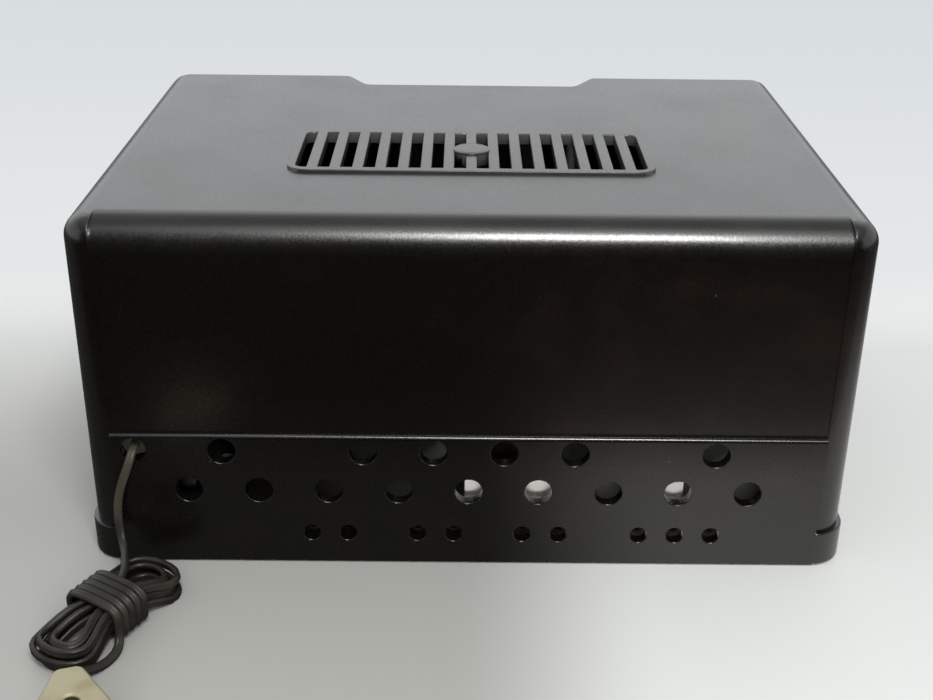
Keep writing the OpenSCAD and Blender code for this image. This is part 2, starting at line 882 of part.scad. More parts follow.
module friction_pulley() {
  half = disc_t / 2 + pulley_gap;
  mid = (disc_y + disc_back) / 2;
  color([0.72, 0.58, 0.32]) difference() {
    union() {
      rod(0, spindle_z, pinch_r - pulley_gap, mid - half, mid + half + 6);
      rod(0, spindle_z, flange_r, mid - half - flange_t, mid - half);
      rod(0, spindle_z, flange_r, mid + half, mid + half + flange_t);
    }
    rod(0, spindle_z, shaft_d / 2 + seat_fit, mid - 20, mid + 20);
  }
}

module tuning_spindle() {
  color([0.7, 0.7, 0.68]) rod(0, spindle_z, shaft_d / 2, recess_y - knob_gap - 14, frame_y + 4);
}

module dial_window() {
  color([0.85, 0.8, 0.65, 0.4]) upright(recess_in, recess_in + window_t)
    translate([0, dial_z]) sector(window_in - 3, window_out + 3, window_half + 5);
}

module escutcheon() {
  color([0.7, 0.55, 0.28]) {
    upright(recess_y - 2, recess_y) translate([0, dial_z]) difference() {
      sector(window_in - 8, window_out + 9, window_half + 12);
      sector(window_in, window_out, window_half);
    }
    block([-0.6, recess_y - 2, dial_z + window_in - 1], [0.6, recess_y - 1.2, dial_z + window_out + 1]);
  }
}

lamp_z = in_top - 10.5;
lamp_r = 4.2;
holder_l = 4;

module dial_lamp() {
  color([0.95, 0.9, 0.7]) {
    rod(0, lamp_z, 3, bracket_y - holder_l - lamp_r, bracket_y - holder_l);
    translate([0, bracket_y - holder_l - lamp_r, lamp_z]) sphere(lamp_r);
  }
}

module lamp_holder() {
  color([0.72, 0.58, 0.32]) rod(0, lamp_z, lamp_r, bracket_y - holder_l, bracket_y);
}

// Knobs and controls

// Fluted knob along Y, with a skirt at its back and a blind bore for its spindle
module knob(x, z, d, back, length, bore) {
  front = back - length;
  grip_r = d / 2 - 3;
  flutes = 18;
  difference() {
    union() {
      rod(x, z, d / 2, back - 3, back);
      rod(x, z, grip_r, front + 2, back - 3);
      translate([x, front + 2, z]) rotate([90, 0, 0]) cylinder(r1 = grip_r, r2 = grip_r - 2, h = 2);
    }
    for (i = [0:flutes - 1])
      rod(x + (grip_r + 0.6) * cos(360 * i / flutes), z + (grip_r + 0.6) * sin(360 * i / flutes), 1.5,
          front - 1, back - 3.5);
    rod(x, z, bore / 2 + seat_fit, back - 14, back + 1);
  }
}

module tuning_knob() {
  color([0.12, 0.09, 0.08])
    knob(0, spindle_z, tuning_knob_d, recess_y - knob_gap, recess_d, shaft_d);
}

module volume_knob() {
  color([0.12, 0.09, 0.08])
    knob(-side_knob_x, side_knob_z, side_knob_d, front_y - knob_gap, knob_out - knob_gap, spindle_d);
}

module reaction_knob() {
  color([0.12, 0.09, 0.08])
    knob(side_knob_x, side_knob_z, side_knob_d, front_y - knob_gap, knob_out - knob_gap, spindle_d);
}

module wave_knob() {
  color([0.12, 0.09, 0.08])
    knob(-small_x, small_z, wave_knob_d, recess_y - knob_gap, 15, spindle_d);
}

// Upright plate with a foot, which holds a control above the deck
module control_bracket(x, z, half) {
  difference() {
    union() {
      block([x - half, control_y, deck_z], [x + half, control_back, z + half]);
      block([x - half, control_back, deck_z], [x + half, control_back + 20, deck_z + control_t]);
    }
    rod(x, z, bush_r + run_fit, control_y - 1, control_back + 1);
  }
}

module control_brackets() {
  color([0.58, 0.58, 0.55]) {
    control_bracket(-side_knob_x, side_knob_z, pot_r + 3);
    control_bracket(side_knob_x, side_knob_z, pot_r + 3);
    control_bracket(-small_x, small_z, 13);
  }
}

// Round control with its threaded bush through the bracket
module control_body(x, z, r, length) {
  difference() {
    union() {
      rod(x, z, r, control_back, control_back + length);
      rod(x, z, bush_r, control_back - control_t - bush_l, control_back);
    }
    rod(x, z, spindle_d / 2 + run_fit, control_back - control_t - bush_l - 1, control_back + length - 3);
  }
}

module volume_body() {
  color([0.2, 0.18, 0.17]) control_body(-side_knob_x, side_knob_z, pot_r, pot_l);
}

module wave_switch_body() {
  color([0.42, 0.26, 0.15]) control_body(-small_x, small_z, small_z - deck_z - control_t - 0.5, 20);
}

module volume_spindle() {
  color([0.7, 0.7, 0.68])
    rod(-side_knob_x, side_knob_z, spindle_d / 2, front_y - knob_gap - 14, control_back + pot_l - 3.5);
}

module wave_spindle() {
  color([0.7, 0.7, 0.68])
    rod(-small_x, small_z, spindle_d / 2, recess_y - knob_gap - 14, control_back + 20 - 3.5);
}

base_t = 3;
vane_first = control_back + base_t + 3;

module reaction_stator() {
  x = side_knob_x;
  z = side_knob_z;
  color([0.45, 0.28, 0.16]) difference() {
    union() {
      rod(x, z, pot_r + 4, control_back, control_back + base_t);
      rod(x, z, bush_r, control_back - control_t - bush_l, control_back);
      for (i = [0, 1])
        translate([x, vane_first + (i + 0.5) * vane_pitch, z])
          upright(-rotor_t / 2, rotor_t / 2) rotate(180) half_disc(vane_r + 4, bush_r + 2, 1);
      for (a = [60, 120])
        rod(x + (vane_r + 2.4) * cos(a), z + (vane_r + 2.4) * sin(a), 1.4,
            control_back + base_t, vane_first + 2 * vane_pitch);
    }
    rod(x, z, spindle_d / 2 + run_fit, control_back - 20, control_back + 20);
  }
}

module reaction_vanes() {
  x = side_knob_x;
  z = side_knob_z;
  color([0.75, 0.6, 0.32]) difference() {
    union() {
      rod(x, z, bush_r, control_back + base_t + 0.3, vane_first + 2 * vane_pitch + 2);
      for (i = [0:2])
        translate([x, vane_first + i * vane_pitch, z])
          upright(-rotor_t / 2, rotor_t / 2) half_disc(vane_r, bush_r - 1, 0);
    }
    rod(x, z, spindle_d / 2 + seat_fit, control_back, control_back + 40);
  }
}

module reaction_spindle() {
  color([0.7, 0.7, 0.68])
    rod(side_knob_x, side_knob_z, spindle_d / 2, front_y - knob_gap - 14, vane_first + 2 * vane_pitch + 2);
}

module toggle_body() {
  back = recess_in + 20;
  color([0.62, 0.62, 0.6]) difference() {
    union() {
      block([small_x - 7, recess_in, small_z - 12], [small_x + 7, back, small_z + 12]);
      rod(small_x, small_z, toggle_r, recess_y - toggle_out, recess_in);
      rod(small_x, small_z, toggle_r + 3, recess_y - 2, recess_y);
    }
    rod(small_x, small_z, lever_ball_r + hole_fit, recess_y - toggle_out - 1, recess_in + 2);
  }
}

module toggle_lever() {
  color([0.75, 0.75, 0.72]) translate([small_x, toggle_pivot_y, small_z]) rotate([toggle_tilt, 0, 0]) {
    sphere(lever_ball_r);
    translate([0, -2, 0]) rotate([90, 0, 0]) cylinder(r1 = lever_r, r2 = lever_r + 0.8, h = 15);
    translate([0, -17, 0]) sphere(lever_r + 1.4);
  }
}

// Supply lead

function unit(v) = v / norm(v);
function ramp(x, low, high) = let (w = min(1, max(0, (x - low) / (high - low)))) w * w * (3 - 2 * w);
function tangent(line, i) = unit(line[min(i + 1, len(line) - 1)] - line[max(i - 1, 0)]);
function squared(n, t) = unit(n - t * (n * t));
// One direction across a line at each of its points, carried along without twist
function carried(line) = [for (i = 0, n = squared([0, 0, 1], tangent(line, 0)); i < len(line);
                               i = i + 1, n = squared(n, tangent(line, min(i, len(line) - 1)))) n];

// Tube of flat sides along a line, closed at both ends
module tube(line, d, sides) {
  last = len(line) - 1;
  side = carried(line);
  points = [for (i = [0:last]) let (t = tangent(line, i), a = side[i], b = cross(t, a))
              for (k = [0:sides - 1]) line[i] + d / 2 * (cos(360 * k / sides) * a + sin(360 * k / sides) * b)];
  walls = [for (i = [0:last - 1]) for (k = [0:sides - 1])
             let (p = i * sides + k, q = i * sides + (k + 1) % sides)
               for (f = [[p, p + sides, q], [q, p + sides, q + sides]]) f];
  ends = [for (k = [1:sides - 2]) for (f = [[0, k, k + 1], [last * sides, last * sides + k + 1, last * sides + k]]) f];
  polyhedron(points, concat(walls, ends));
}

module supply_cord() {
  color([0.2, 0.17, 0.14]) tube(cord_route, cord_d, 8);
}

// Places along the hank, across it and above the table, as places in the row's frame
hank_along = [cos(hank_turn), sin(hank_turn), 0];
hank_across = [-sin(hank_turn), cos(hank_turn), 0];
function laid(p) = hank_mid + p.x * hank_along + p.y * hank_across + [0, 0, p.z];
function local(p) = [(p - hank_mid) * hank_along, (p - hank_mid) * hank_across, p.z];
function turned(v) = [v * hank_along, v * hank_across, v.z];

// A loop's place in the nest, its layer and its lift over the wraps, by turns wound
function nest(u) = let (k = max(0, floor(u / layer_turns)), w = min(spiral_turns, u - k * layer_turns))
  k % 2 == 0 ? w : spiral_turns - w;
function layer(u) = let (k = max(0, floor(u / layer_turns)))
  max(0, layers - 1 - k - ramp(u - k * layer_turns, spiral_turns, layer_turns));
function lifted(s) = wrap_lift * (1 - ramp(abs(s), 12, 32));
function loop_at(u) =
  let (q = nest(u), c = cos(360 * u), n = sin(360 * u), s = (loop_half + loop_step * q) * c,
       t = n * (waist_half + waist_step * q + (bulge + bulge_step * q) * c * c))
    [s, t, cord_d / 2 + eps + lifted(s) + layer(u) * layer_step];
function wrap_at(v) =
  let (a = 180 - 360 * v, r = pow(pow(abs(cos(a)) / wrap_a, 4) + pow(abs(sin(a)) / wrap_b, 4), -1 / 4))
    [wrap_start + wrap_step * v, r * cos(a), wrap_z + r * sin(a)];
// Points on the curve that four points lead, without its first
function led(p, count) = [for (i = [1:count]) let (w = i / count, v = 1 - w)
  v * v * v * p[0] + 3 * v * v * w * p[1] + 3 * v * w * w * p[2] + w * w * w * p[3]];

cord_out = unit(hank_start - cord_route[len(cord_route) - 2]);
plug_out = [cos(plug_turn), sin(plug_turn), 0];
lead_in = [local(hank_start + cord_d * cord_out), local(hank_start + 12 * cord_out) + [0, 1.5, 2.2],
           loop_at(loop_first) - [11, 0, 0], loop_at(loop_first)];
to_wraps = [loop_at(loop_last), loop_at(loop_last) + [9, 0, 0], wrap_at(0) - [1, 0, 8], wrap_at(0)];
run_out = [24, 20.4, cord_d / 2 + 0.2];
from_wraps = [wrap_at(wraps), wrap_at(wraps) + [0.8, 0.2, -8.4], run_out - [9, 0, 0], run_out];
to_plug = [run_out, run_out + [11, 0.4, 0], local(plug_nose - 9.5 * plug_out), local(plug_nose - cord_d * plug_out)];
loop_rings = round((loop_last - loop_first) * rings_a_turn);
wrap_rings = round(wraps * rings_a_turn);
hank_line = [for (p = concat([local(hank_start), lead_in[0]], led(lead_in, 7),
                             [for (i = [1:loop_rings]) loop_at(loop_first + i / rings_a_turn)],
                             led(to_wraps, 8), [for (i = [1:wrap_rings]) wrap_at(i / rings_a_turn)],
                             led(from_wraps, 7), led(to_plug, 7), [local(plug_nose)])) laid(p)];

// Least distance between the hank's surface and itself, from each point to each later stretch
function to_stretch(p, a, b) = let (d = b - a, w = min(1, max(0, (p - a) * d / (d * d)))) norm(p - a - w * d);
function least_gap(line, skip) =
  min([for (i = [0:len(line) - skip - 2])
    min([for (j = [i + skip:len(line) - 2]) to_stretch(line[i], line[j], line[j + 1])])]) - cord_d;
function length_of(line) = let (l = [for (i = [1:len(line) - 1]) norm(line[i] - line[i - 1])]) l * [for (x = l) 1];

module cord_hank() {
  echo(hank_gap = least_gap(hank_line, 6), rings = len(hank_line));
  echo(lead_length = length_of(cord_route) + length_of(hank_line));
  color([0.13, 0.12, 0.11]) tube(hank_line, cord_d, 6);
}

// Plug

nose_w = 12;
shoulder = 32;
split_z = plug_h / 2;
plug_screw_at = 24;

// Places on the plug, with its length along Y from the nose
module at_plug(up) {
  translate([plug_nose.x, plug_nose.y, up]) rotate([0, 0, plug_turn - 90]) children();
}

module plug_outline() {
  polygon([[-nose_w / 2, 0], [nose_w / 2, 0], [plug_w / 2, shoulder], [plug_w / 2, plug_l],
           [-plug_w / 2, plug_l], [-plug_w / 2, shoulder]]);
}

pin_in = 8;
root_r = pin_d / 2 - 0.3;

module plug_half(low, high) {
  difference() {
    at_plug(low) linear_extrude(high - low) plug_outline();
    for (x = [-pin_pitch / 2, pin_pitch / 2])
      at_plug(split_z) rod(x, 0, root_r + seat_fit, plug_l - pin_in, plug_l + 1);
    at_plug(0) translate([0, plug_screw_at, 4]) cylinder(r = 1.8, h = plug_h);
    at_plug(plug_h - 3) translate([0, plug_screw_at, 0]) cylinder(r = 4, h = 4);
  }
}

module plug_lower() {
  color([0.8, 0.76, 0.6]) plug_half(0, split_z);
}

module plug_upper() {
  color([0.82, 0.78, 0.62]) plug_half(split_z, plug_h);
}

module plug_pins() {
  color([0.75, 0.6, 0.32])
    for (x = [-pin_pitch / 2, pin_pitch / 2])
      at_plug(split_z) {
        rod(x, 0, root_r, plug_l - pin_in, plug_l);
        rod(x, 0, pin_d / 2, plug_l, plug_l + pin_l);
      }
}

module plug_screw() {
  color([0.5, 0.45, 0.35]) at_plug(0) translate([0, plug_screw_at, 0]) {
    translate([0, 0, 4]) cylinder(r = 1.75, h = plug_h - 7);
    translate([0, 0, plug_h - 3]) cylinder(r = 3.6, h = 2);
  }
}

housing();
back_panel();
feet();
base_cover();
cabinet_screws();
chassis();
socket_strip();
plug_sockets();
fuse_holder();
aerial_insulator();
mains_terminal();
cord_clamp();
transformer_core();
transformer_coil();
transformer_bolts();
block_condenser();
choke_core();
choke_coil();
valve_sockets();
valve_bases();
valve_bulbs();
valve_electrodes();
coil_former();
coil_winding();
tag_board();
resistors();
dial_bracket();
capacitor_frame();
stator_plates();
stator_insulators();
rotor_shaft();
rotor_plates();
drive_disc();
dial_scale();
dial_window();
escutcheon();
dial_lamp();
lamp_holder();
tuning_knob();
tuning_spindle();
friction_pulley();
control_brackets();
volume_body();
volume_spindle();
volume_knob();
reaction_stator();
reaction_spindle();
reaction_vanes();
reaction_knob();
wave_switch_body();
wave_spindle();
wave_knob();
toggle_body();
toggle_lever();
supply_cord();
cord_hank();
plug_lower();
plug_upper();
plug_pins();
plug_screw();
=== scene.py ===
"""Table radio of the 1930s, seen from behind: finishes, eased mouldings, mains lead and studio."""

import json
import logging
import math
from abc import ABC, abstractmethod
from dataclasses import dataclass, field
from enum import Enum
from typing import Callable, Iterator, Sequence

import bpy
from mathutils import Matrix, Vector

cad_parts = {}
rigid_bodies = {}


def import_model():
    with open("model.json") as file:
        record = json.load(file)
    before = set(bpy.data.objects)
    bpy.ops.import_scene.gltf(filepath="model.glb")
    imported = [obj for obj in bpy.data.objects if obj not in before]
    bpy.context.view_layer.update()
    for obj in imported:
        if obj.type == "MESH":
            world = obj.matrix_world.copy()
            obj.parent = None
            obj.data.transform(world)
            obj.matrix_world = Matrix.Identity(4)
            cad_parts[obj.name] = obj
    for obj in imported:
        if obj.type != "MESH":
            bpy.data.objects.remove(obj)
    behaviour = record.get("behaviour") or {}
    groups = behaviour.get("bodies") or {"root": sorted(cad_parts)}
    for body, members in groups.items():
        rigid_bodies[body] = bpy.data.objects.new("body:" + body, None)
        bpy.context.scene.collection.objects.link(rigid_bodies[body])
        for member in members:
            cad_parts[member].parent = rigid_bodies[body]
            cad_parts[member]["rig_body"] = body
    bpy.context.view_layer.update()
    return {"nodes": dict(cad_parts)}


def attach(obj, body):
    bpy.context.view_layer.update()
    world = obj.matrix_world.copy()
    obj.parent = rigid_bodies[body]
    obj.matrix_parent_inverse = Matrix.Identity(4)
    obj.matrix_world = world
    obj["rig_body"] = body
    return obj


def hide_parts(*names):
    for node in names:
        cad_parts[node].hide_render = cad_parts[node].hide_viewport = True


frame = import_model()
LOG = logging.getLogger("radio")
# Distance in metres within which an edge counts as being at a place.
NEAR = 3e-5
Colour = tuple[float, float, float]
Point = tuple[float, float, float]
Pair = tuple[float, float]
Material = bpy.types.Material
Object = bpy.types.Object
Arris = tuple[bpy.types.MeshEdge, Vector, Vector, Vector]
EdgeTest = Callable[[Vector, Vector, Vector], bool]


class Body(Enum):
    """Bodies that new pieces ride on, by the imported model's names."""

    SET = "set"
    ROTOR = "rotor"
    TUNER = "tuner"
    VOLUME = "volume"
    REACTION = "reaction"
    WAVE = "wave"


class Axis(Enum):
    """Axes of the row's frame, by their place in a vector."""

    X = 0
    Y = 1
    Z = 2


class Select(Enum):
    """What edit mode selects, as flags for vertices, edges and faces."""

    EDGES = (False, True, False)
    FACES = (False, False, True)


class Shade:
    """A shader socket that takes part in Python sums."""

    def __init__(self, graph: "Graph", socket: bpy.types.NodeSocket) -> None:
        """Keep the socket and the graph that it belongs to."""
        self.graph = graph
        self.socket = socket

    def _math(self, operation: str, *values: "Shade | float") -> "Shade":
        """Add a Math node.

        Args:
            operation: The Math node's operation.
            values: Its inputs in order.

        Returns:
            The node's value.
        """
        inputs = dict(enumerate(values))
        return self.graph.node("ShaderNodeMath", {"operation": operation}, inputs)

    def __add__(self, other: "Shade | float") -> "Shade":
        """Sum."""
        return self._math("ADD", self, other)

    def __sub__(self, other: "Shade | float") -> "Shade":
        """Difference."""
        return self._math("SUBTRACT", self, other)

    def __rsub__(self, other: float) -> "Shade":
        """Difference from a number."""
        return self._math("SUBTRACT", other, self)

    def __mul__(self, other: "Shade | float") -> "Shade":
        """Product."""
        return self._math("MULTIPLY", self, other)

    __radd__ = __add__
    __rmul__ = __mul__

    def __gt__(self, other: "Shade | float") -> "Shade":
        """One where this is greater."""
        return self._math("GREATER_THAN", self, other)

    def __lt__(self, other: "Shade | float") -> "Shade":
        """One where this is less."""
        return self._math("LESS_THAN", self, other)

    def __abs__(self) -> "Shade":
        """Size without sign."""
        return self._math("ABSOLUTE", self)

    def wrapped(self, low: float, high: float) -> "Shade":
        """The value wrapped into a range."""
        return self._math("WRAP", self, high, low)

    def smooth(self, low: float, high: float) -> "Shade":
        """Rise smoothly from 0 to 1 between two values.

        Args:
            low: Value that gives 0.
            high: Value that gives 1.

        Returns:
            The smoothed value.
        """
        settings = {"interpolation_type": "SMOOTHSTEP"}
        inputs = {"Value": self, "From Min": low, "From Max": high}
        return self.graph.node("ShaderNodeMapRange", settings, inputs, "Result")


class Graph:
    """One material's node graph, with its Principled shader and the surface's object coordinates."""

    def __init__(self, name: str) -> None:
        """Make the material.

        Args:
            name: The material's name.
        """
        self.material = bpy.data.materials.new(name)
        self.material.use_nodes = True
        self.tree = self.material.node_tree
        self.shader = self.tree.nodes["Principled BSDF"]
        self.output = self.tree.nodes["Material Output"]
        self.place = self.node("ShaderNodeTexCoord", out="Object")

    def node(self, kind: str, settings: dict | None = None, inputs: dict | None = None,
             out: str | int = 0) -> Shade:
        """Add a node.

        Args:
            kind: The node's type.
            settings: Its own values, set before its sockets.
            inputs: Values or links of its sockets, by name or place.
            out: The output socket that is returned.

        Returns:
            The chosen output.
        """
        made = self.tree.nodes.new(kind)
        for key, value in (settings or {}).items():
            setattr(made, key, value)
        for key, value in (inputs or {}).items():
            if isinstance(value, Shade):
                self.tree.links.new(value.socket, made.inputs[key])
            else:
                made.inputs[key].default_value = value
        return Shade(self, made.outputs[out])

    def along(self, axis: Axis) -> Shade:
        """One of the object coordinates, in metres."""
        return self.node("ShaderNodeSeparateXYZ", None, {0: self.place}, axis.value)

    def noise(self, scale: float, detail: float = 2.0, stretch: Point = (1.0, 1.0, 1.0)) -> Shade:
        """Cloudy noise.

        Args:
            scale: Clouds per metre.
            detail: Octaves of finer clouds.
            stretch: Scale along each axis.

        Returns:
            Noise from 0 to 1.
        """
        where = self.place
        if stretch != (1.0, 1.0, 1.0):
            where = self.node("ShaderNodeMapping", None, {"Vector": where, "Scale": stretch})
        inputs = {"Vector": where, "Scale": scale, "Detail": detail}
        return self.node("ShaderNodeTexNoise", None, inputs)

    def _scattered(self, scale: float, out: str) -> Shade:
        """One output of a pattern of scattered cells."""
        return self.node("ShaderNodeTexVoronoi", None, {"Vector": self.place, "Scale": scale}, out)

    def cells(self, scale: float) -> Shade:
        """Distance to the nearest of scattered points, in cells."""
        return self._scattered(scale, "Distance")

    def cell_value(self, scale: float) -> Shade:
        """One random number for each scattered cell."""
        return self.node("ShaderNodeSeparateColor", None, {0: self._scattered(scale, "Color")}, 0)

    def mix(self, mask: Shade, first: "Shade | Colour", second: "Shade | Colour") -> Shade:
        """Mix two colours.

        Args:
            mask: Share of the second colour.
            first: Colour where the mask is 0.
            second: Colour where the mask is 1.

        Returns:
            The mixed colour.
        """
        first, second = (tone if isinstance(tone, Shade) else (*tone, 1.0) for tone in (first, second))
        return self.node("ShaderNodeMix", {"data_type": "RGBA"}, {0: mask, 6: first, 7: second}, 2)

    def bump(self, height: Shade, strength: float, depth: float) -> None:
        """Feed a height into the shader's normal.

        Args:
            height: Height pattern from 0 to 1.
            strength: Share of the bump.
            depth: Height of the pattern in metres.
        """
        inputs = {"Strength": strength, "Distance": depth, "Height": height}
        self.link("Normal", self.node("ShaderNodeBump", None, inputs))

    def link(self, name: str, value: Shade) -> None:
        """Join a value to one of the shader's sockets."""
        self.tree.links.new(value.socket, self.shader.inputs[name])

    def fix(self, **values: "float | tuple") -> None:
        """Set the shader's own sockets, with underscores for spaces."""
        for key, value in values.items():
            self.shader.inputs[key.replace("_", " ")].default_value = value

    def plain(self) -> Shade:
        """The Principled shader itself."""
        return Shade(self, self.shader.outputs[0])

    def glow(self, tone: "Shade | tuple", strength: "Shade | float") -> Shade:
        """A shader that shines with one tone."""
        return self.node("ShaderNodeEmission", None, {"Color": tone, "Strength": strength})

    def blend(self, mask: Shade, first: Shade, second: Shade) -> Shade:
        """Two shaders mixed by the share of the second."""
        return self.node("ShaderNodeMixShader", None, {0: mask, 1: first, 2: second})

    def show(self, shader: Shade) -> None:
        """Put a shader on the surface in place of the Principled one."""
        self.tree.links.new(shader.socket, self.output.inputs["Surface"])


class Finish(ABC):
    """A finish that can be made into a material."""

    @abstractmethod
    def shade(self, g: Graph) -> None:
        """Lay the finish's nodes into a material's graph."""

    def build(self, name: str) -> Material:
        """Make the material.

        Args:
            name: The material's name.

        Returns:
            The material.
        """
        g = Graph(name)
        self.shade(g)
        return g.material


@dataclass(frozen=True)
class MouldedResin(Finish):
    """Glossy moulded resin with a mottle, a fine grain, dust and handling haze, a painted sheen on the top,
    and a painted reflection that makes the mottle ruddier towards -X.
    """

    dark: Colour = (0.0022, 0.0019, 0.0016)
    ruddy: Colour = (0.0098, 0.004, 0.0023)
    # Colour of the dust, and on the top also of a painted sheen.
    dust: Colour = (0.30, 0.30, 0.295)
    gloss: float = 0.26
    coat: float = 0.15
    top_z: float = 0.186
    # Level of the top's film of dust and painted sheen.
    film: float = 0.05
    slot_dust: float = 0.13
    grille: Point = (0.096, 0.0378, 0.036)
    plate_z: float = 0.19135
    # Whether to lay the dust and the top's painted sheen.
    dusty: bool = True

    def _dust(self, g: Graph, haze: Shade, upper: Shade) -> Shade:
        """Dust on the top together with a painted sheen there, dust in the grille's slots, and scattered
        specks.

        Args:
            g: The material's graph.
            haze: Cloudy pattern of the film.
            upper: Mask of the top.

        Returns:
            The share of dust and painted sheen.
        """
        x, y, z = (g.along(axis) for axis in Axis)
        half_wide, middle_y, half_deep = self.grille
        slots = (abs(x) < half_wide) * (abs(y - middle_y) < half_deep)
        slots = slots * (z > self.top_z - 0.004) * (z < self.plate_z)
        # The top's film is dust and a painted sheen; the slots hold dust.
        film = upper * (self.film + 0.02 * haze) + self.slot_dust * slots
        speck = (g.cells(60.0) < 0.03) * (g.cell_value(60.0) > 0.8)
        fine = (g.cells(230.0) < 0.05) * (g.cell_value(230.0) > 0.9)
        return film + (speck * 0.6 + fine * 0.25) * (0.25 + 0.75 * upper)

    def shade(self, g: Graph) -> None:
        """Lay the finish's nodes.

        Args:
            g: The material's graph.
        """
        x, z = g.along(Axis.X), g.along(Axis.Z)
        clouds = g.noise(34.0, 5.0)
        streaks = g.noise(9.0, 3.0, (1.0, 1.0, 2.6))
        # Painted reflection: the ruddy mottle grows towards -X, the right of the view.
        side = 1.0 - x.smooth(-0.19, 0.1)
        ruddy = (clouds * 0.6 + streaks * 0.55).smooth(0.56, 0.86) * (0.18 + 0.82 * side)
        colour = g.mix(ruddy, self.dark, self.ruddy)
        haze = g.noise(22.0, 6.0).smooth(0.35, 0.8)
        grit = g.noise(760.0, 1.0)
        rough = self.gloss + 0.05 * haze + 0.16 * (grit - 0.5)
        if self.dusty:
            upper = z.smooth(self.top_z - 0.002, self.top_z + 0.004)
            # Dust, with the top's painted sheen, laid over the resin's colour.
            colour = g.mix(self._dust(g, haze, upper), colour, self.dust)
            rough = rough + 0.08 * upper
        g.link("Base Color", colour)
        g.link("Roughness", rough)
        g.fix(IOR=1.7, Coat_Weight=self.coat, Coat_Roughness=0.1, Coat_IOR=1.5)
        grain = grit * 0.36 + g.noise(240.0, 2.0) * 0.14 + g.noise(40.0, 1.0) * 0.5
        g.bump(grain, 0.6, 0.00012)


@dataclass(frozen=True)
class IvoryResin(Finish):
    """Ivory moulded resin with handling grime and a few brown scuffs."""

    light: Colour = (0.308, 0.283, 0.18)
    worn: Colour = (0.235, 0.2, 0.115)
    grime: Colour = (0.12, 0.085, 0.045)

    def shade(self, g: Graph) -> None:
        """Lay the finish's nodes.

        Args:
            g: The material's graph.
        """
        clouds = g.noise(60.0, 5.0)
        colour = g.mix(clouds.smooth(0.4, 0.75), self.light, self.worn)
        scuff = g.noise(260.0, 4.0, (1.0, 0.35, 1.0)).smooth(0.62, 0.74) * clouds.smooth(0.45, 0.6)
        colour = g.mix(scuff * 0.7, colour, self.grime)
        g.link("Base Color", colour)
        g.link("Roughness", 0.34 + 0.25 * clouds)
        g.fix(IOR=1.52)
        g.bump(g.noise(900.0, 3.0), 0.2, 0.0003)


@dataclass(frozen=True)
class RubberFlex(Finish):
    """Old rubber covering of the mains lead, with dusty patches, and painted light that makes it paler
    higher up near its hole.
    """

    dark: Colour = (0.0105, 0.0094, 0.0074)
    # Tone of the dusty patches, and of the painted light on the higher stretch.
    pale: Colour = (0.05, 0.044, 0.031)

    def shade(self, g: Graph) -> None:
        """Lay the finish's nodes.

        Args:
            g: The material's graph.
        """
        clouds = g.noise(70.0, 4.0)
        # Painted light: the lead is paler above about 2 cm.
        painted_light_high = g.along(Axis.Z).smooth(0.02, 0.04)
        colour = g.mix(clouds.smooth(0.35, 0.8) * 0.4 + painted_light_high * 0.6, self.dark, self.pale)
        g.link("Base Color", colour)
        g.link("Roughness", 0.36 + 0.2 * clouds)
        g.fix(IOR=1.5)
        g.bump(g.noise(700.0, 3.0), 0.25, 0.0004)


@dataclass(frozen=True)
class AgedMetal(Finish):
    """Plated, brass or bare metal with brushed lines and dull patches."""

    bright: Colour
    dull: Colour
    gloss: float = 0.28
    grain: Point = (1.0, 1.0, 1.0)

    def shade(self, g: Graph) -> None:
        """Lay the finish's nodes.

        Args:
            g: The material's graph.
        """
        clouds = g.noise(60.0, 6.0)
        lines = g.noise(420.0, 3.0, self.grain)
        tarnish = (clouds * 0.75 + lines * 0.3).smooth(0.42, 0.7)
        g.link("Base Color", g.mix(tarnish, self.bright, self.dull))
        g.link("Roughness", self.gloss + 0.3 * tarnish)
        g.link("Metallic", 1.0 - 0.35 * tarnish)
        g.bump(lines, 0.12, 0.0002)


@dataclass(frozen=True)
class Board(Finish):
    """Matt board, paint or composition with fibres and darker patches."""

    light: Colour
    dark: Colour
    gloss: float = 0.55
    fibre: float = 500.0
    grain: Point = (1.0, 1.0, 0.3)
    bump_depth: float = 0.0004

    def shade(self, g: Graph) -> None:
        """Lay the finish's nodes.

        Args:
            g: The material's graph.
        """
        clouds = g.noise(45.0, 5.0)
        fibres = g.noise(self.fibre, 4.0, self.grain)
        patches = (clouds * 0.6 + fibres * 0.5).smooth(0.4, 0.72)
        g.link("Base Color", g.mix(patches, self.light, self.dark))
        g.link("Roughness", self.gloss + 0.2 * fibres)
        g.bump(fibres, 0.25, self.bump_depth)


@dataclass(frozen=True)
class Layered(Finish):
    """Stacked sheets or laid wire: fine stripes along one axis."""

    light: Colour
    dark: Colour
    pitch: float
    axis: Axis
    metal: float = 0.0
    gloss: float = 0.45

    def shade(self, g: Graph) -> None:
        """Lay the finish's nodes.

        Args:
            g: The material's graph.
        """
        turn = (g.along(self.axis) * (1.0 / self.pitch)).wrapped(0.0, 1.0)
        crown = 1.0 - abs(turn - 0.5) * 2.0
        clouds = g.noise(50.0, 4.0)
        worn = crown.smooth(0.05, 0.5) * (0.6 + 0.4 * clouds)
        g.link("Base Color", g.mix(worn, self.dark, self.light))
        g.link("Roughness", self.gloss + 0.2 * clouds)
        g.fix(Metallic=self.metal)
        g.bump(crown, 0.6, self.pitch * 0.3)


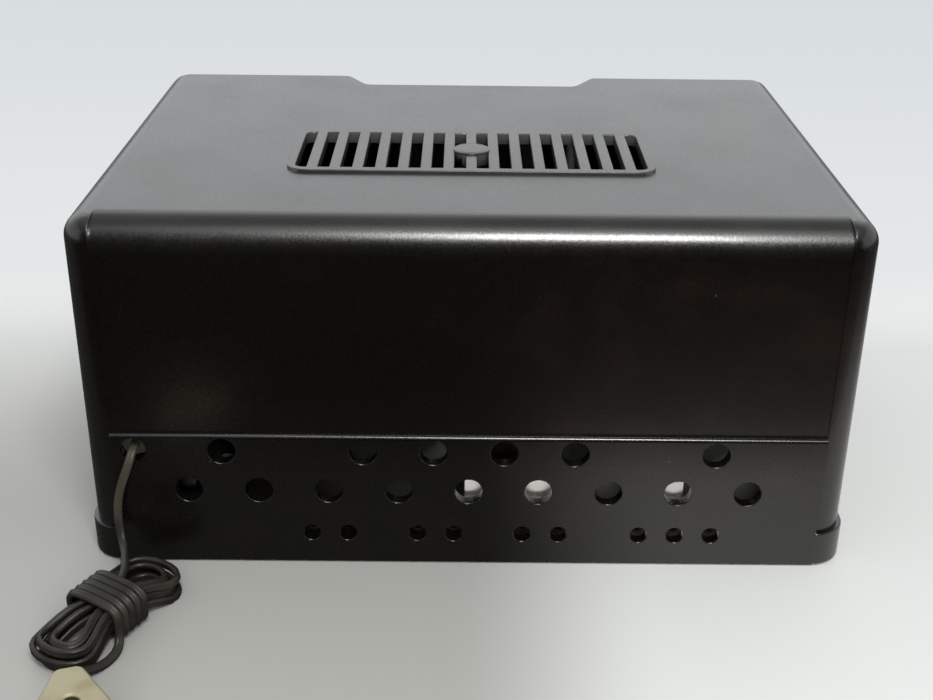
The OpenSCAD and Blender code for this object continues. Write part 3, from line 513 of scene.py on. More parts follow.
@dataclass(frozen=True)
class Glazed(Finish):
    """White glazed porcelain with a little dust, darkened below a height by painted shade."""

    light: Colour = (0.82, 0.81, 0.78)
    dust: Colour = (0.6, 0.56, 0.48)
    # Colour of the painted shade below the height.
    base: Colour = (0.02, 0.017, 0.015)
    base_to: float = -0.01

    def shade(self, g: Graph) -> None:
        """Lay the finish's nodes.

        Args:
            g: The material's graph.
        """
        clouds = g.noise(90.0, 4.0)
        white = g.mix(clouds.smooth(0.55, 0.85), self.light, self.dust)
        # Painted shade: dark below the height.
        upper = g.along(Axis.Z).smooth(self.base_to, self.base_to + 0.001)
        g.link("Base Color", g.mix(upper, self.base, white))
        g.link("Roughness", 0.12 + 0.3 * clouds.smooth(0.4, 0.8))
        g.fix(IOR=1.55)


@dataclass(frozen=True)
class ClearGlass(Finish):
    """Thin clear glass, silvered above a height where a mirror deposit is wanted."""

    tint: Colour = (0.86, 0.9, 0.88)
    alpha: float = 0.2
    silver: Colour = (0.5, 0.5, 0.52)
    silver_from: float = 10.0
    silver_fade: float = 0.006

    def shade(self, g: Graph) -> None:
        """Lay the finish's nodes.

        Args:
            g: The material's graph.
        """
        clouds = g.noise(80.0, 4.0)
        height = g.along(Axis.Z) + clouds * self.silver_fade
        silver = height.smooth(self.silver_from, self.silver_from + self.silver_fade)
        g.link("Base Color", g.mix(silver, self.tint, self.silver))
        g.link("Metallic", silver)
        g.link("Roughness", 0.05 + 0.08 * clouds)
        g.link("Alpha", self.alpha + (1.0 - self.alpha) * silver)
        g.fix(IOR=1.5)


class Bench:
    """Modelling moves that the sub-assemblies share."""

    @staticmethod
    def pick(*objects: Object) -> None:
        """Select these objects alone, the first one active.

        Args:
            objects: The objects.
        """
        bpy.ops.object.select_all(action="DESELECT")
        for item in objects:
            item.select_set(True)
        bpy.context.view_layer.objects.active = objects[0]

    @staticmethod
    def settle(item: Object) -> Object:
        """Put an object's place, turn and scale into its mesh.

        Args:
            item: The object.

        Returns:
            The object.
        """
        Bench.pick(item)
        bpy.ops.object.transform_apply(location=True, rotation=True, scale=True)
        return item

    @staticmethod
    def modify(item: Object, kind: str, **settings: object) -> None:
        """Add a modifier and apply it.

        Args:
            item: The object.
            kind: The modifier's type.
            settings: Its values.
        """
        Bench.pick(item)
        made = item.modifiers.new(kind.lower(), kind)
        for key, value in settings.items():
            setattr(made, key, value)
        bpy.ops.object.modifier_apply(modifier=made.name)

    @staticmethod
    def smooth(item: Object, degrees: float = 35.0) -> None:
        """Shade smoothly across edges below an angle, with flat faces kept flat.

        Args:
            item: The object.
            degrees: The angle.
        """
        Bench.pick(item)
        bpy.ops.object.shade_smooth_by_angle(angle=math.radians(degrees))
        Bench.modify(item, "WEIGHTED_NORMAL", keep_sharp=True, weight=60)

    @staticmethod
    def placed(name: str, data: bpy.types.ID) -> Object:
        """Put a new object into the scene.

        Args:
            name: Its name.
            data: Its mesh, camera or lamp.

        Returns:
            The object.
        """
        item = bpy.data.objects.new(name, data)
        bpy.context.scene.collection.objects.link(item)
        return item

    @staticmethod
    def copied(node: str, name: str) -> Object:
        """Copy a node's mesh, joined up and with its flat faces made whole.

        Args:
            node: The CAD node.
            name: The new piece's name.

        Returns:
            The copy, riding on the node's body and standing for the node.
        """
        source = frame["nodes"][node]
        item = Bench.placed(name, source.data.copy())
        Bench.pick(item)
        bpy.ops.object.mode_set(mode="EDIT")
        bpy.ops.mesh.select_all(action="SELECT")
        bpy.ops.mesh.remove_doubles(threshold=0.00002)
        bpy.ops.mesh.dissolve_limited(angle_limit=math.radians(0.4))
        bpy.ops.object.mode_set(mode="OBJECT")
        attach(item, source["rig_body"])
        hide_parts(node)
        return item

    @staticmethod
    def arrises(item: Object, degrees: float) -> Iterator[Arris]:
        """Go through the outward sharp edges of a closed mesh.

        Args:
            item: The object.
            degrees: Least angle between two faces that counts as sharp.

        Returns:
            Each edge with its middle and the normals of its two faces.
        """
        mesh = item.data
        sides: dict[tuple[int, int], list[tuple[bpy.types.MeshPolygon, int, int]]] = {}
        for face in mesh.polygons:
            ring = list(face.vertices)
            for a, b in zip(ring, ring[1:] + ring[:1]):
                sides.setdefault((min(a, b), max(a, b)), []).append((face, a, b))
        limit = math.cos(math.radians(degrees))
        for edge in mesh.edges:
            pair = sides.get((min(edge.vertices), max(edge.vertices)), [])
            if len(pair) != 2 or pair[0][0].normal.dot(pair[1][0].normal) > limit:
                continue
            one, (two, a, b) = pair[0][0], pair[1]
            inward = two.normal.cross(mesh.vertices[b].co - mesh.vertices[a].co)
            if inward.dot(one.normal) < 0:
                middle = (mesh.vertices[a].co + mesh.vertices[b].co) / 2
                yield edge, middle, one.normal.copy(), two.normal.copy()

    @staticmethod
    def upright(middle: Vector, one: Vector, two: Vector) -> bool:
        """Whether an edge lies between two upright faces."""
        return abs(one.z) + abs(two.z) < 0.1

    @staticmethod
    def select_none(item: Object) -> None:
        """Take the selection off all of a mesh."""
        for group in (item.data.vertices, item.data.edges, item.data.polygons):
            group.foreach_set("select", [False] * len(group))

    @staticmethod
    def edit(item: Object, chosen: Sequence[int], select: Select) -> None:
        """Enter edit mode with some edges or faces selected.

        Args:
            item: The object.
            chosen: Indices of the edges or faces.
            select: Which of the two they are.
        """
        Bench.select_none(item)
        group = item.data.edges if select is Select.EDGES else item.data.polygons
        for index in chosen:
            group[index].select = True
        Bench.pick(item)
        bpy.context.tool_settings.mesh_select_mode = select.value
        bpy.ops.object.mode_set(mode="EDIT")

    @staticmethod
    def ease(item: Object, wanted: EdgeTest, width: float, segments: int = 2, degrees: float = 50.0) -> None:
        """Round the outward edges that a test picks.

        Args:
            item: The object.
            wanted: Test of an edge's middle and its two faces' normals.
            width: Width of the rounding in metres.
            segments: Facets across the rounding.
            degrees: Least angle between faces that counts as sharp.
        """
        chosen = [edge.index for edge, *place in Bench.arrises(item, degrees) if wanted(*place)]
        Bench.edit(item, chosen, Select.EDGES)
        bpy.ops.mesh.bevel(offset=width, segments=segments, affect="EDGES", clamp_overlap=False,
                           loop_slide=False)
        bpy.ops.object.mode_set(mode="OBJECT")

    @staticmethod
    def dress(item: Object, material: Material) -> None:
        """Give an object one material all over."""
        item.data.materials.clear()
        item.data.materials.append(material)

    @staticmethod
    def finished(item: Object, slot: str, material: Material, degrees: float = 35.0) -> Object:
        """Smooth a copied piece and give it a finish.

        Args:
            item: The piece.
            slot: The record's material slot; not used.
            material: Its finish.
            degrees: Angle below which its edges are smooth.

        Returns:
            The piece.
        """
        Bench.smooth(item, degrees)
        Bench.dress(item, material)
        return item

    @staticmethod
    def fitted(item: Object, body: Body, slot: str, material: Material) -> Object:
        """Let a new piece ride on a body, with a finish.

        Args:
            item: The piece.
            body: The body that carries it.
            slot: The record's material slot; not used.
            material: Its finish.

        Returns:
            The piece.
        """
        Bench.dress(item, material)
        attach(item, body.value)
        return item


@dataclass(frozen=True)
class Lamp:
    """An area lamp, in metres and watts."""

    name: str
    at: Point
    aim: Point
    size: Pair
    power: float
    tone: Colour
    in_gloss: bool = True

    def hang(self) -> None:
        """Put the lamp into the scene."""
        data = bpy.data.lights.new(self.name, "AREA")
        data.shape = "RECTANGLE"
        data.size, data.size_y = self.size
        data.energy, data.color = self.power, self.tone
        item = Bench.placed(self.name, data)
        item.location = self.at
        item.rotation_euler = (Vector(self.aim) - Vector(self.at)).to_track_quat("-Z", "Y").to_euler()
        item.visible_glossy = self.in_gloss


@dataclass
class Studio:
    """Camera, table, backdrop, room and lamps of the photograph's view."""

    eye: Point = (0.005, 0.7504, 0.412)
    pitch: float = 25.64
    yaw: float = -0.29
    roll: float = 0.67
    lens: float = 51.90
    sensor: float = 36.0
    clip: Pair = (0.02, 30.0)
    stage_wide: float = 8.0
    table_light: Colour = (0.62, 0.63, 0.62)
    # Colour of the table under its painted shadow, and where that painted shadow lies along X and Y.
    table_dim: Colour = (0.352, 0.349, 0.331)
    dim_x: Pair = (-0.1, 0.012)
    dim_y: Pair = (-0.2, 0.12)
    table_rough: float = 0.65
    table_ior: float = 1.3
    # Tones and levels of the table's painted reflection, a glow that only glossy rays see.
    gloss_near: Colour = (1.0, 0.99, 0.95)
    gloss_far: Colour = (1.0, 0.82, 0.64)
    gloss_floor: float = 0.012
    gloss_rise: float = 0.06
    near_end: Pair = (0.245, 0.31)
    far_end: Pair = (0.3, 0.6)
    lit_left: Pair = (0.0, 0.12)
    lit_right: Pair = (-0.6, -0.28)
    lit_near: float = 0.54
    lit_far: float = 0.1
    wall_low: Colour = (0.776, 0.799, 0.807)
    wall_high: Colour = (0.687, 0.723, 0.748)
    wall_blend: Pair = (0.0015, 0.03)
    wall_rise: Pair = (0.02, 0.24)
    wall_top: float = 0.45
    cove_start: float = -0.12
    cove_strip: float = 0.001
    cove_lift: float = 0.0002
    cove_radius: float = 0.12
    cove_steps: int = 12
    spill_at: Pair = (-0.25, 1.1)
    sky: Colour = (0.97, 0.985, 1.0)
    sky_level: float = 0.72
    lamps: tuple[Lamp, ...] = (
        Lamp("lamp_ceiling", (-0.19, 1.04, 1.38), (0.0, 0.1, 0.1), (0.48, 0.42), 17.0, (1.0, 0.99, 0.97)),
        Lamp("lamp_window", (0.2, -1.1, 0.76), (0.0, 0.0, 0.2), (2.8, 0.95), 5.0, (0.96, 0.985, 1.0)),
        Lamp("lamp_fill", (0.0, 1.9, 0.42), (0.0, 0.15, 0.05), (0.7, 0.3), 17.0, (1.0, 1.0, 1.0), False))

    def camera(self) -> None:
        """Set the camera at the photograph's place and turn."""
        p, y, r = (math.radians(a) for a in (self.pitch, self.yaw, self.roll))
        ahead = Vector((math.sin(y) * math.cos(p), -math.cos(y) * math.cos(p), -math.sin(p)))
        level = ahead.cross(Vector((0, 0, 1))).normalized()
        upward = level.cross(ahead)
        right = math.cos(r) * level + math.sin(r) * upward
        top = -math.sin(r) * level + math.cos(r) * upward
        data = bpy.data.cameras.new("view")
        data.lens, data.sensor_width = self.lens, self.sensor
        data.clip_start, data.clip_end = self.clip
        item = Bench.placed("view", data)
        turn = Matrix((right, top, -ahead)).transposed().to_4x4()
        item.matrix_world = Matrix.Translation(self.eye) @ turn
        bpy.context.scene.camera = item

    @staticmethod
    def _flat(name: str, middle: Point, size: Pair, tilt: float, material: Material) -> Object:
        """Make a flat stage piece.

        Args:
            name: Its name.
            middle: Its middle.
            size: Its width along X and its length.
            tilt: Its turn about X in degrees.
            material: Its material.

        Returns:
            The stage piece.
        """
        turn = (math.radians(tilt), 0.0, 0.0)
        bpy.ops.mesh.primitive_plane_add(size=1.0, location=middle, rotation=turn)
        item = bpy.context.object
        item.name = name
        item.scale = (*size, 1.0)
        Bench.settle(item)
        Bench.dress(item, material)
        return item

    def _table_graph(self, name: str) -> Graph:
        """Start a material with the table's tone: a painted shadow darkens it on the left of the view near
        the camera, so it is paler far off and to the right of the view.

        Args:
            name: The material's name.

        Returns:
            The material's graph.
        """
        g = Graph(name)
        # Painted shadow: the table's colour darkens on the left of the view towards the camera.
        dim = g.along(Axis.X).smooth(*self.dim_x) * g.along(Axis.Y).smooth(*self.dim_y)
        cloud = 0.96 + 0.08 * g.noise(3.0)
        g.link("Base Color", g.mix(dim * cloud, self.table_light, self.table_dim))
        g.fix(Roughness=self.table_rough, IOR=self.table_ior)
        return g

    def _table(self) -> Material:
        """Pale table that gloss sees as a painted reflection: a glow that is dim on the left of the view and
        past the table's end, with a painted pool of light to the right of the view.

        Returns:
            The material.
        """
        g = self._table_graph("table")
        x, y = g.along(Axis.X), g.along(Axis.Y)
        near = 1.0 - y.smooth(*self.near_end)
        far = 1.0 - y.smooth(*self.far_end)
        across = (0.0 - x).smooth(*self.lit_left) * x.smooth(*self.lit_right)
        # Painted pool of light in the table's reflection, to the right of the view.
        lit = across * (self.lit_near * near + self.lit_far * far)
        tone = g.mix(near, self.gloss_far, self.gloss_near)
        path = g.node("ShaderNodeLightPath", out="Is Glossy Ray")
        level = self.gloss_floor + self.gloss_rise * near + lit
        g.show(g.blend(path, g.plain(), g.glow(tone, level)))
        return g.material

    def _backdrop(self) -> Material:
        """Backdrop that rises out of the table's tone into its own, and is clear from behind.

        Returns:
            The material.
        """
        g = self._table_graph("backdrop")
        z = g.along(Axis.Z)
        tone = g.mix(z.smooth(*self.wall_rise), self.wall_low, self.wall_high)
        front = g.blend(z.smooth(*self.wall_blend), g.plain(), g.glow(tone, 1.0))
        behind = g.node("ShaderNodeNewGeometry", out="Backfacing")
        g.show(g.blend(behind, front, g.node("ShaderNodeBsdfTransparent")))
        return g.material

    def _sweep(self) -> None:
        """Backdrop that curves up out of the table."""
        middle = (0.0, self.cove_start + self.cove_strip / 2, self.cove_lift)
        item = self._flat("backdrop", middle, (self.stage_wide, self.cove_strip), 0.0, self._backdrop())
        low = {point.index for point in item.data.vertices if point.co.y < middle[1]}
        chosen = [edge.index for edge in item.data.edges if low.issuperset(edge.vertices)]
        Bench.edit(item, chosen, Select.EDGES)
        bend = [math.pi / 2 * i / self.cove_steps for i in range(self.cove_steps + 1)]
        line = [(-self.cove_radius * math.sin(a), self.cove_radius * (1 - math.cos(a))) for a in bend]
        line.append((line[-1][0], self.wall_top))
        for (y0, z0), (y1, z1) in zip(line, line[1:]):
            bpy.ops.mesh.extrude_edges_move(TRANSFORM_OT_translate={"value": (0.0, y1 - y0, z1 - z0)})
        bpy.ops.object.mode_set(mode="OBJECT")
        wall = max(item.data.polygons, key=lambda face: face.center.z)
        if wall.normal.y < 0:
            bpy.ops.object.mode_set(mode="EDIT")
            bpy.ops.mesh.select_all(action="SELECT")
            bpy.ops.mesh.flip_normals()
            bpy.ops.object.mode_set(mode="OBJECT")
        bpy.ops.object.shade_smooth()
        item.visible_diffuse = item.visible_glossy = item.visible_shadow = False

    def _room(self, name: str, tone: float, spill: float) -> Material:
        """Plain dim side of the room, with the lamp's spill on it.

        Args:
            name: The material's name.
            tone: Its level.
            spill: Level that is added round the lamp.

        Returns:
            The material.
        """
        g = Graph(name)
        x, y = g.along(Axis.X) - self.spill_at[0], g.along(Axis.Y) - self.spill_at[1]
        round_lamp = 1.0 - (x * x * 0.5 + y * y).smooth(0.0, 1.1)
        g.show(g.glow((1.0, 1.0, 1.0, 1.0), tone + spill * round_lamp))
        return g.material

    def set_pieces(self) -> None:
        """Table, backdrop and the dim room that gloss sees behind the camera."""
        self._flat("table", (0.0, 0.0, 0.0), (self.stage_wide, self.stage_wide), 0.0, self._table())
        self._sweep()
        for name, middle, size, tilt, tone, spill in (
                ("room_back", (0.0, 2.4, 1.2), (6.0, 2.4), 90.0, 0.02, 0.0),
                ("room_ceiling", (0.0, 0.5, 2.4), (6.0, 3.9), 0.0, 0.16, 1.3)):
            item = self._flat(name, middle, size, tilt, self._room(name, tone, spill))
            item.visible_camera = item.visible_diffuse = False
            item.visible_shadow = item.visible_transmission = False

    def lights(self) -> None:
        """World and lamps at a plain level."""
        world = bpy.data.worlds.new("room")
        bpy.context.scene.world = world
        world.use_nodes = True
        back = world.node_tree.nodes["Background"]
        back.inputs["Color"].default_value = (*self.sky, 1.0)
        back.inputs["Strength"].default_value = self.sky_level
        for lamp in self.lamps:
            lamp.hang()

    def build(self) -> None:
        """Make the studio."""
        bpy.context.scene.view_settings.view_transform = "Standard"
        self.camera()
        self.set_pieces()
        self.lights()


@dataclass
class SupplyLead:
    """Mains lead: free stretch and hank.

    Its section and length are in metres, its route and the hank's sizes in millimetres.
    """

    thick: float = 0.0038
    broad: float = 0.0046
    slim: float = 0.0036
    length: float = 1.71
    route: tuple[Point, ...] = (
        (171.6, 110, 67.6), (171.6, 114, 67.6), (171.6, 122, 67.6), (171.6, 132, 67.7),
        (171.6, 142, 67.8), (171.8, 149, 67.4), (172.4, 154, 65.6), (173.4, 157.2, 61.8),
        (175, 158, 57.5), (177, 158, 52.5), (179.3, 157.8, 46), (181, 158.3, 38.5),
        (181.5, 159.2, 31), (181, 160.6, 24.6), (179.6, 163.5, 19.7),
        (177.8, 168, 17.4), (176.1, 173.1, 17), (175.3, 177, 17))
    middle: Point = (177.0, 209.4, 0.0)
    turn: float = 62.0
    nose: Point = (181.3, 263.9, 9.0)
    plug_turn: float = 107.5
    rings_a_turn: int = 40
    loop_first: float = -0.25
    loop_last: float = 5.62
    wraps: float = 4.5
    loop_reach: float = 34.5
    loop_belly: float = 16.0
    belly_step: float = 6.4
    lift_span: Pair = (12.0, 32.0)
    wrap_reach: float = 12.3
    sides: int = 20
    furrow: float = 0.3
    line: list[Vector] = field(default_factory=list)

    def __post_init__(self) -> None:
        """Work out the hank's sizes from the lead's diameter, in millimetres."""
        d = self.thick * 1000
        self.d = d
        a = math.radians(self.turn)
        self.along = Vector((math.cos(a), math.sin(a), 0))
        self.across = Vector((-math.sin(a), math.cos(a), 0))
        self.layer_step = d + 0.7
        self.wrap_lift = d + 1.2
        self.wrap_a = self.wrap_reach + d
        self.wrap_b = self.layer_step + self.wrap_lift
        self.wrap_z = d / 2 + self.wrap_b + 0.01
        self.wrap_step = d + 0.75

    @staticmethod
    def _ramp(x: float, low: float, high: float) -> float:
        """Rise smoothly from 0 to 1 between two values."""
        w = min(1.0, max(0.0, (x - low) / (high - low)))
        return w * w * (3 - 2 * w)

    def _local(self, p: Vector) -> Vector:
        """A place in the hank's own axes."""
        q = p - Vector(self.middle)
        return Vector((q.dot(self.along), q.dot(self.across), p.z))

    def _laid(self, p: Vector) -> Vector:
        """A place of the hank's own axes in the row's frame."""
        return Vector(self.middle) + p.x * self.along + p.y * self.across + Vector((0, 0, p.z))

    def _loop(self, u: float) -> Vector:
        """A place on the loops, by turns wound.

        Args:
            u: Turns wound.

        Returns:
            The place in the hank's own axes.
        """
        k = max(0, math.floor(u / 2))
        w = min(1.5, u - 2 * k)
        q = w if k % 2 == 0 else 1.5 - w
        layer = max(0.0, 2 - k - self._ramp(u - 2 * k, 1.5, 2))
        c, n = math.cos(2 * math.pi * u), math.sin(2 * math.pi * u)
        s = (self.loop_reach + (self.d + 1) * q) * c
        belly = (self.loop_belly + self.belly_step * q) * c * c
        t = n * ((self.d + 0.8) / 2 + (self.d + 1.5) * q + belly)
        lift = self.wrap_lift * (1 - self._ramp(abs(s), *self.lift_span))
        return Vector((s, t, self.d / 2 + 0.01 + lift + layer * self.layer_step))

    def _wrap(self, v: float) -> Vector:
        """A place on the wraps, by turns wound.

        Args:
            v: Turns wound.

        Returns:
            The place in the hank's own axes.
        """
        a = math.pi - 2 * math.pi * v
        c, n = math.cos(a), math.sin(a)
        r = (abs(c / self.wrap_a) ** 4 + abs(n / self.wrap_b) ** 4) ** -0.25
        return Vector((self.wrap_step * (v - self.wraps / 2), r * c, self.wrap_z + r * n))

    @staticmethod
    def _led(p: Sequence[Vector], count: int) -> list[Vector]:
        """Points on the curve that four points lead, without its first."""
        return [(1 - w) ** 3 * p[0] + 3 * (1 - w) ** 2 * w * p[1] + 3 * (1 - w) * w * w * p[2]
                + w ** 3 * p[3] for w in (i / count for i in range(1, count + 1))]

    def hank_line(self) -> list[Vector]:
        """The hank's line from the free stretch to the plug.

        Returns:
            The line's points in the row's frame, in millimetres.
        """
        start, before = Vector(self.route[-1]), Vector(self.route[-2])
        out = (start - before).normalized()
        a = math.radians(self.plug_turn)
        plug_out = Vector((math.cos(a), math.sin(a), 0))
        nose = Vector(self.nose)
        first, last = self._loop(self.loop_first), self._loop(self.loop_last)
        lead_in = [self._local(start + self.d * out),
                   self._local(start + 12 * out) + Vector((0, 1.5, 2.2)), first - Vector((11, 0, 0)), first]
        head, tail = self._wrap(0.0), self._wrap(self.wraps)
        to_wraps = [last, last + Vector((9, 0, 0)), head - Vector((1, 0, 8)), head]
        run_out = Vector((24, 20.4, self.d / 2 + 0.2))
        from_wraps = [tail, tail + Vector((0.8, 0.2, -8.4)), run_out - Vector((9, 0, 0)), run_out]
        to_plug = [run_out, run_out + Vector((11, 0.4, 0)), self._local(nose - 9.5 * plug_out),
                   self._local(nose - self.d * plug_out)]
        span = self.loop_last - self.loop_first
        loops, winds = round(span * self.rings_a_turn), round(self.wraps * self.rings_a_turn)
        line = [self._local(start), lead_in[0], *self._led(lead_in, 12)]
        line += [self._loop(self.loop_first + span * i / loops) for i in range(1, loops + 1)]
        line += self._led(to_wraps, 14)
        line += [self._wrap(self.wraps * i / winds) for i in range(1, winds + 1)]
        line += self._led(from_wraps, 12) + self._led(to_plug, 12) + [self._local(nose)]
        return [self._laid(p) for p in line]

    def free_line(self, steps: int = 3) -> list[Vector]:
        """The free stretch through its route's points, in millimetres.

        Args:
            steps: Points for each stretch between two route points.

        Returns:
            The smooth line without its last point.
        """
        p = [Vector(q) for q in self.route]
        p = [2 * p[0] - p[1], *p, 2 * p[-1] - p[-2]]
        line = []
        for i in range(1, len(p) - 2):
            a, b, c, e = p[i - 1:i + 3]
            for k in range(steps):
                w = k / steps
                line.append(0.5 * (2 * b + (c - a) * w + (2 * a - 5 * b + 4 * c - e) * w * w
                                   + (3 * b - a - 3 * c + e) * w ** 3))
        return line

    def _section(self, angle: float) -> tuple[float, float]:
        """Outline of the twin flex: two cores side by side with a shallow furrow between them.

        Args:
            angle: Angle round the section.

        Returns:
            Distance across and up from the section's middle, in metres.
        """
        furrow = 1 - self.furrow * math.exp(-(math.cos(angle) / 0.3) ** 2)
        return self.broad / 2 * math.cos(angle), self.slim / 2 * math.sin(angle) * furrow

    def build(self, material: Material) -> list[Object]:
        """Make the lead as one tube along its line.

        Args:
            material: Its finish.

        Returns:
            The lead.
        """
        line = [p / 1000 for p in self.free_line() + self.hank_line()]
        sides = self.sides
        angles = [2 * math.pi * k / sides for k in range(sides)]
        points: list[Vector] = []
        across = Vector((1, 0, 0))
        for i, p in enumerate(line):
            ahead = (line[min(i + 1, len(line) - 1)] - line[max(i - 1, 0)]).normalized()
            across = (across - ahead * across.dot(ahead)).normalized()
            up = ahead.cross(across)
            for angle in angles:
                x, y = self._section(angle)
                points.append(p + x * across + y * up)
        rings = len(line)
        faces = [(i + k, i + (k + 1) % sides, i + sides + (k + 1) % sides, i + sides + k)
                 for i in range(0, (rings - 1) * sides, sides) for k in range(sides)]
        faces += [tuple(reversed(range(sides))), tuple((rings - 1) * sides + k for k in range(sides))]
        mesh = bpy.data.meshes.new("mains_lead")
        mesh.from_pydata(points, [], faces)
        item = Bench.placed("mains_lead", mesh)
        Bench.smooth(item, 60.0)
        Bench.dress(item, material)
        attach(item, Body.SET.value)
        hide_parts("supply_cord", "cord_hank")
        self.line = line
        return [item]

    def declare(self, lead: Object) -> None:
        """Turn the lead's first point and line into tuples, which are not kept."""
        tuple(self.line[0])
        [tuple(p) for p in self.line]


@dataclass
class MainsPlug:
    """Two-part ivory plug with its screw and pins."""

    nose: Point = (0.1813, 0.2639, 0.009)
    turn: float = 107.5
    length: float = 0.046
    end_zone: float = 0.003
    round_nose: float = 0.0028
    round_shoulder: float = 0.004
    ease: float = 0.0016
    screw_ease: float = 0.0004
    pin_ease: float = 0.0006

    def _along(self, place: Vector) -> float:
        """Distance of a place from the nose along the plug, in metres."""
        a = math.radians(self.turn)
        return (place - Vector(self.nose)).dot(Vector((math.cos(a), math.sin(a), 0.0)))

    @staticmethod
    def _both_upright(one: Vector, two: Vector) -> bool:
        """Whether two faces are upright."""
        return max(abs(one.z), abs(two.z)) < 0.1

    def _at_nose(self, middle: Vector, one: Vector, two: Vector) -> bool:
        """Whether an edge is an upright one of the nose."""
        return self._both_upright(one, two) and self._along(middle) < self.end_zone

    def _on_shoulder(self, middle: Vector, one: Vector, two: Vector) -> bool:
        """Whether an edge is an upright one of the body's far end."""
        return self._both_upright(one, two) and self._along(middle) > self.length - self.end_zone

    @staticmethod
    def _outside(faces_up: bool) -> EdgeTest:
        """Test for the level edges of one half's outer face.

        Args:
            faces_up: Whether the half's outer face is the upper one.

        Returns:
            The test.
        """
        def test(middle: Vector, one: Vector, two: Vector) -> bool:
            """Whether an edge borders the outer face."""
            rise = max(one.z, two.z) if faces_up else -min(one.z, two.z)
            return rise > 0.9 and min(abs(one.z), abs(two.z)) < 0.2

        return test

    def build(self, ivory: Material, brass: Material, dull: Material) -> list[Object]:
        """Make the plug's pieces.

        Args:
            ivory: Finish of the two halves.
            brass: Finish of the pins.
            dull: Finish of the screw, brass darkened by tarnish and painted shade.

        Returns:
            The pieces.
        """
        made = []
        for node, faces_up in (("plug_lower", False), ("plug_upper", True)):
            item = Bench.copied(node, f"mains_{node}")
            Bench.ease(item, self._at_nose, self.round_nose, 6, 20.0)
            Bench.ease(item, self._on_shoulder, self.round_shoulder, 5, 20.0)
            Bench.ease(item, self._outside(faces_up), self.ease, 4, 40.0)
            made.append(Bench.finished(item, "ivory", ivory, 50.0))
        metals = (("plug_screw", self.screw_ease, dull), ("plug_pins", self.pin_ease, brass))
        for node, width, metal in metals:
            item = Bench.copied(node, f"mains_{node}")
            Bench.ease(item, lambda middle, one, two: True, width, 3, 60.0)
            made.append(Bench.finished(item, "brass", metal))
        return made


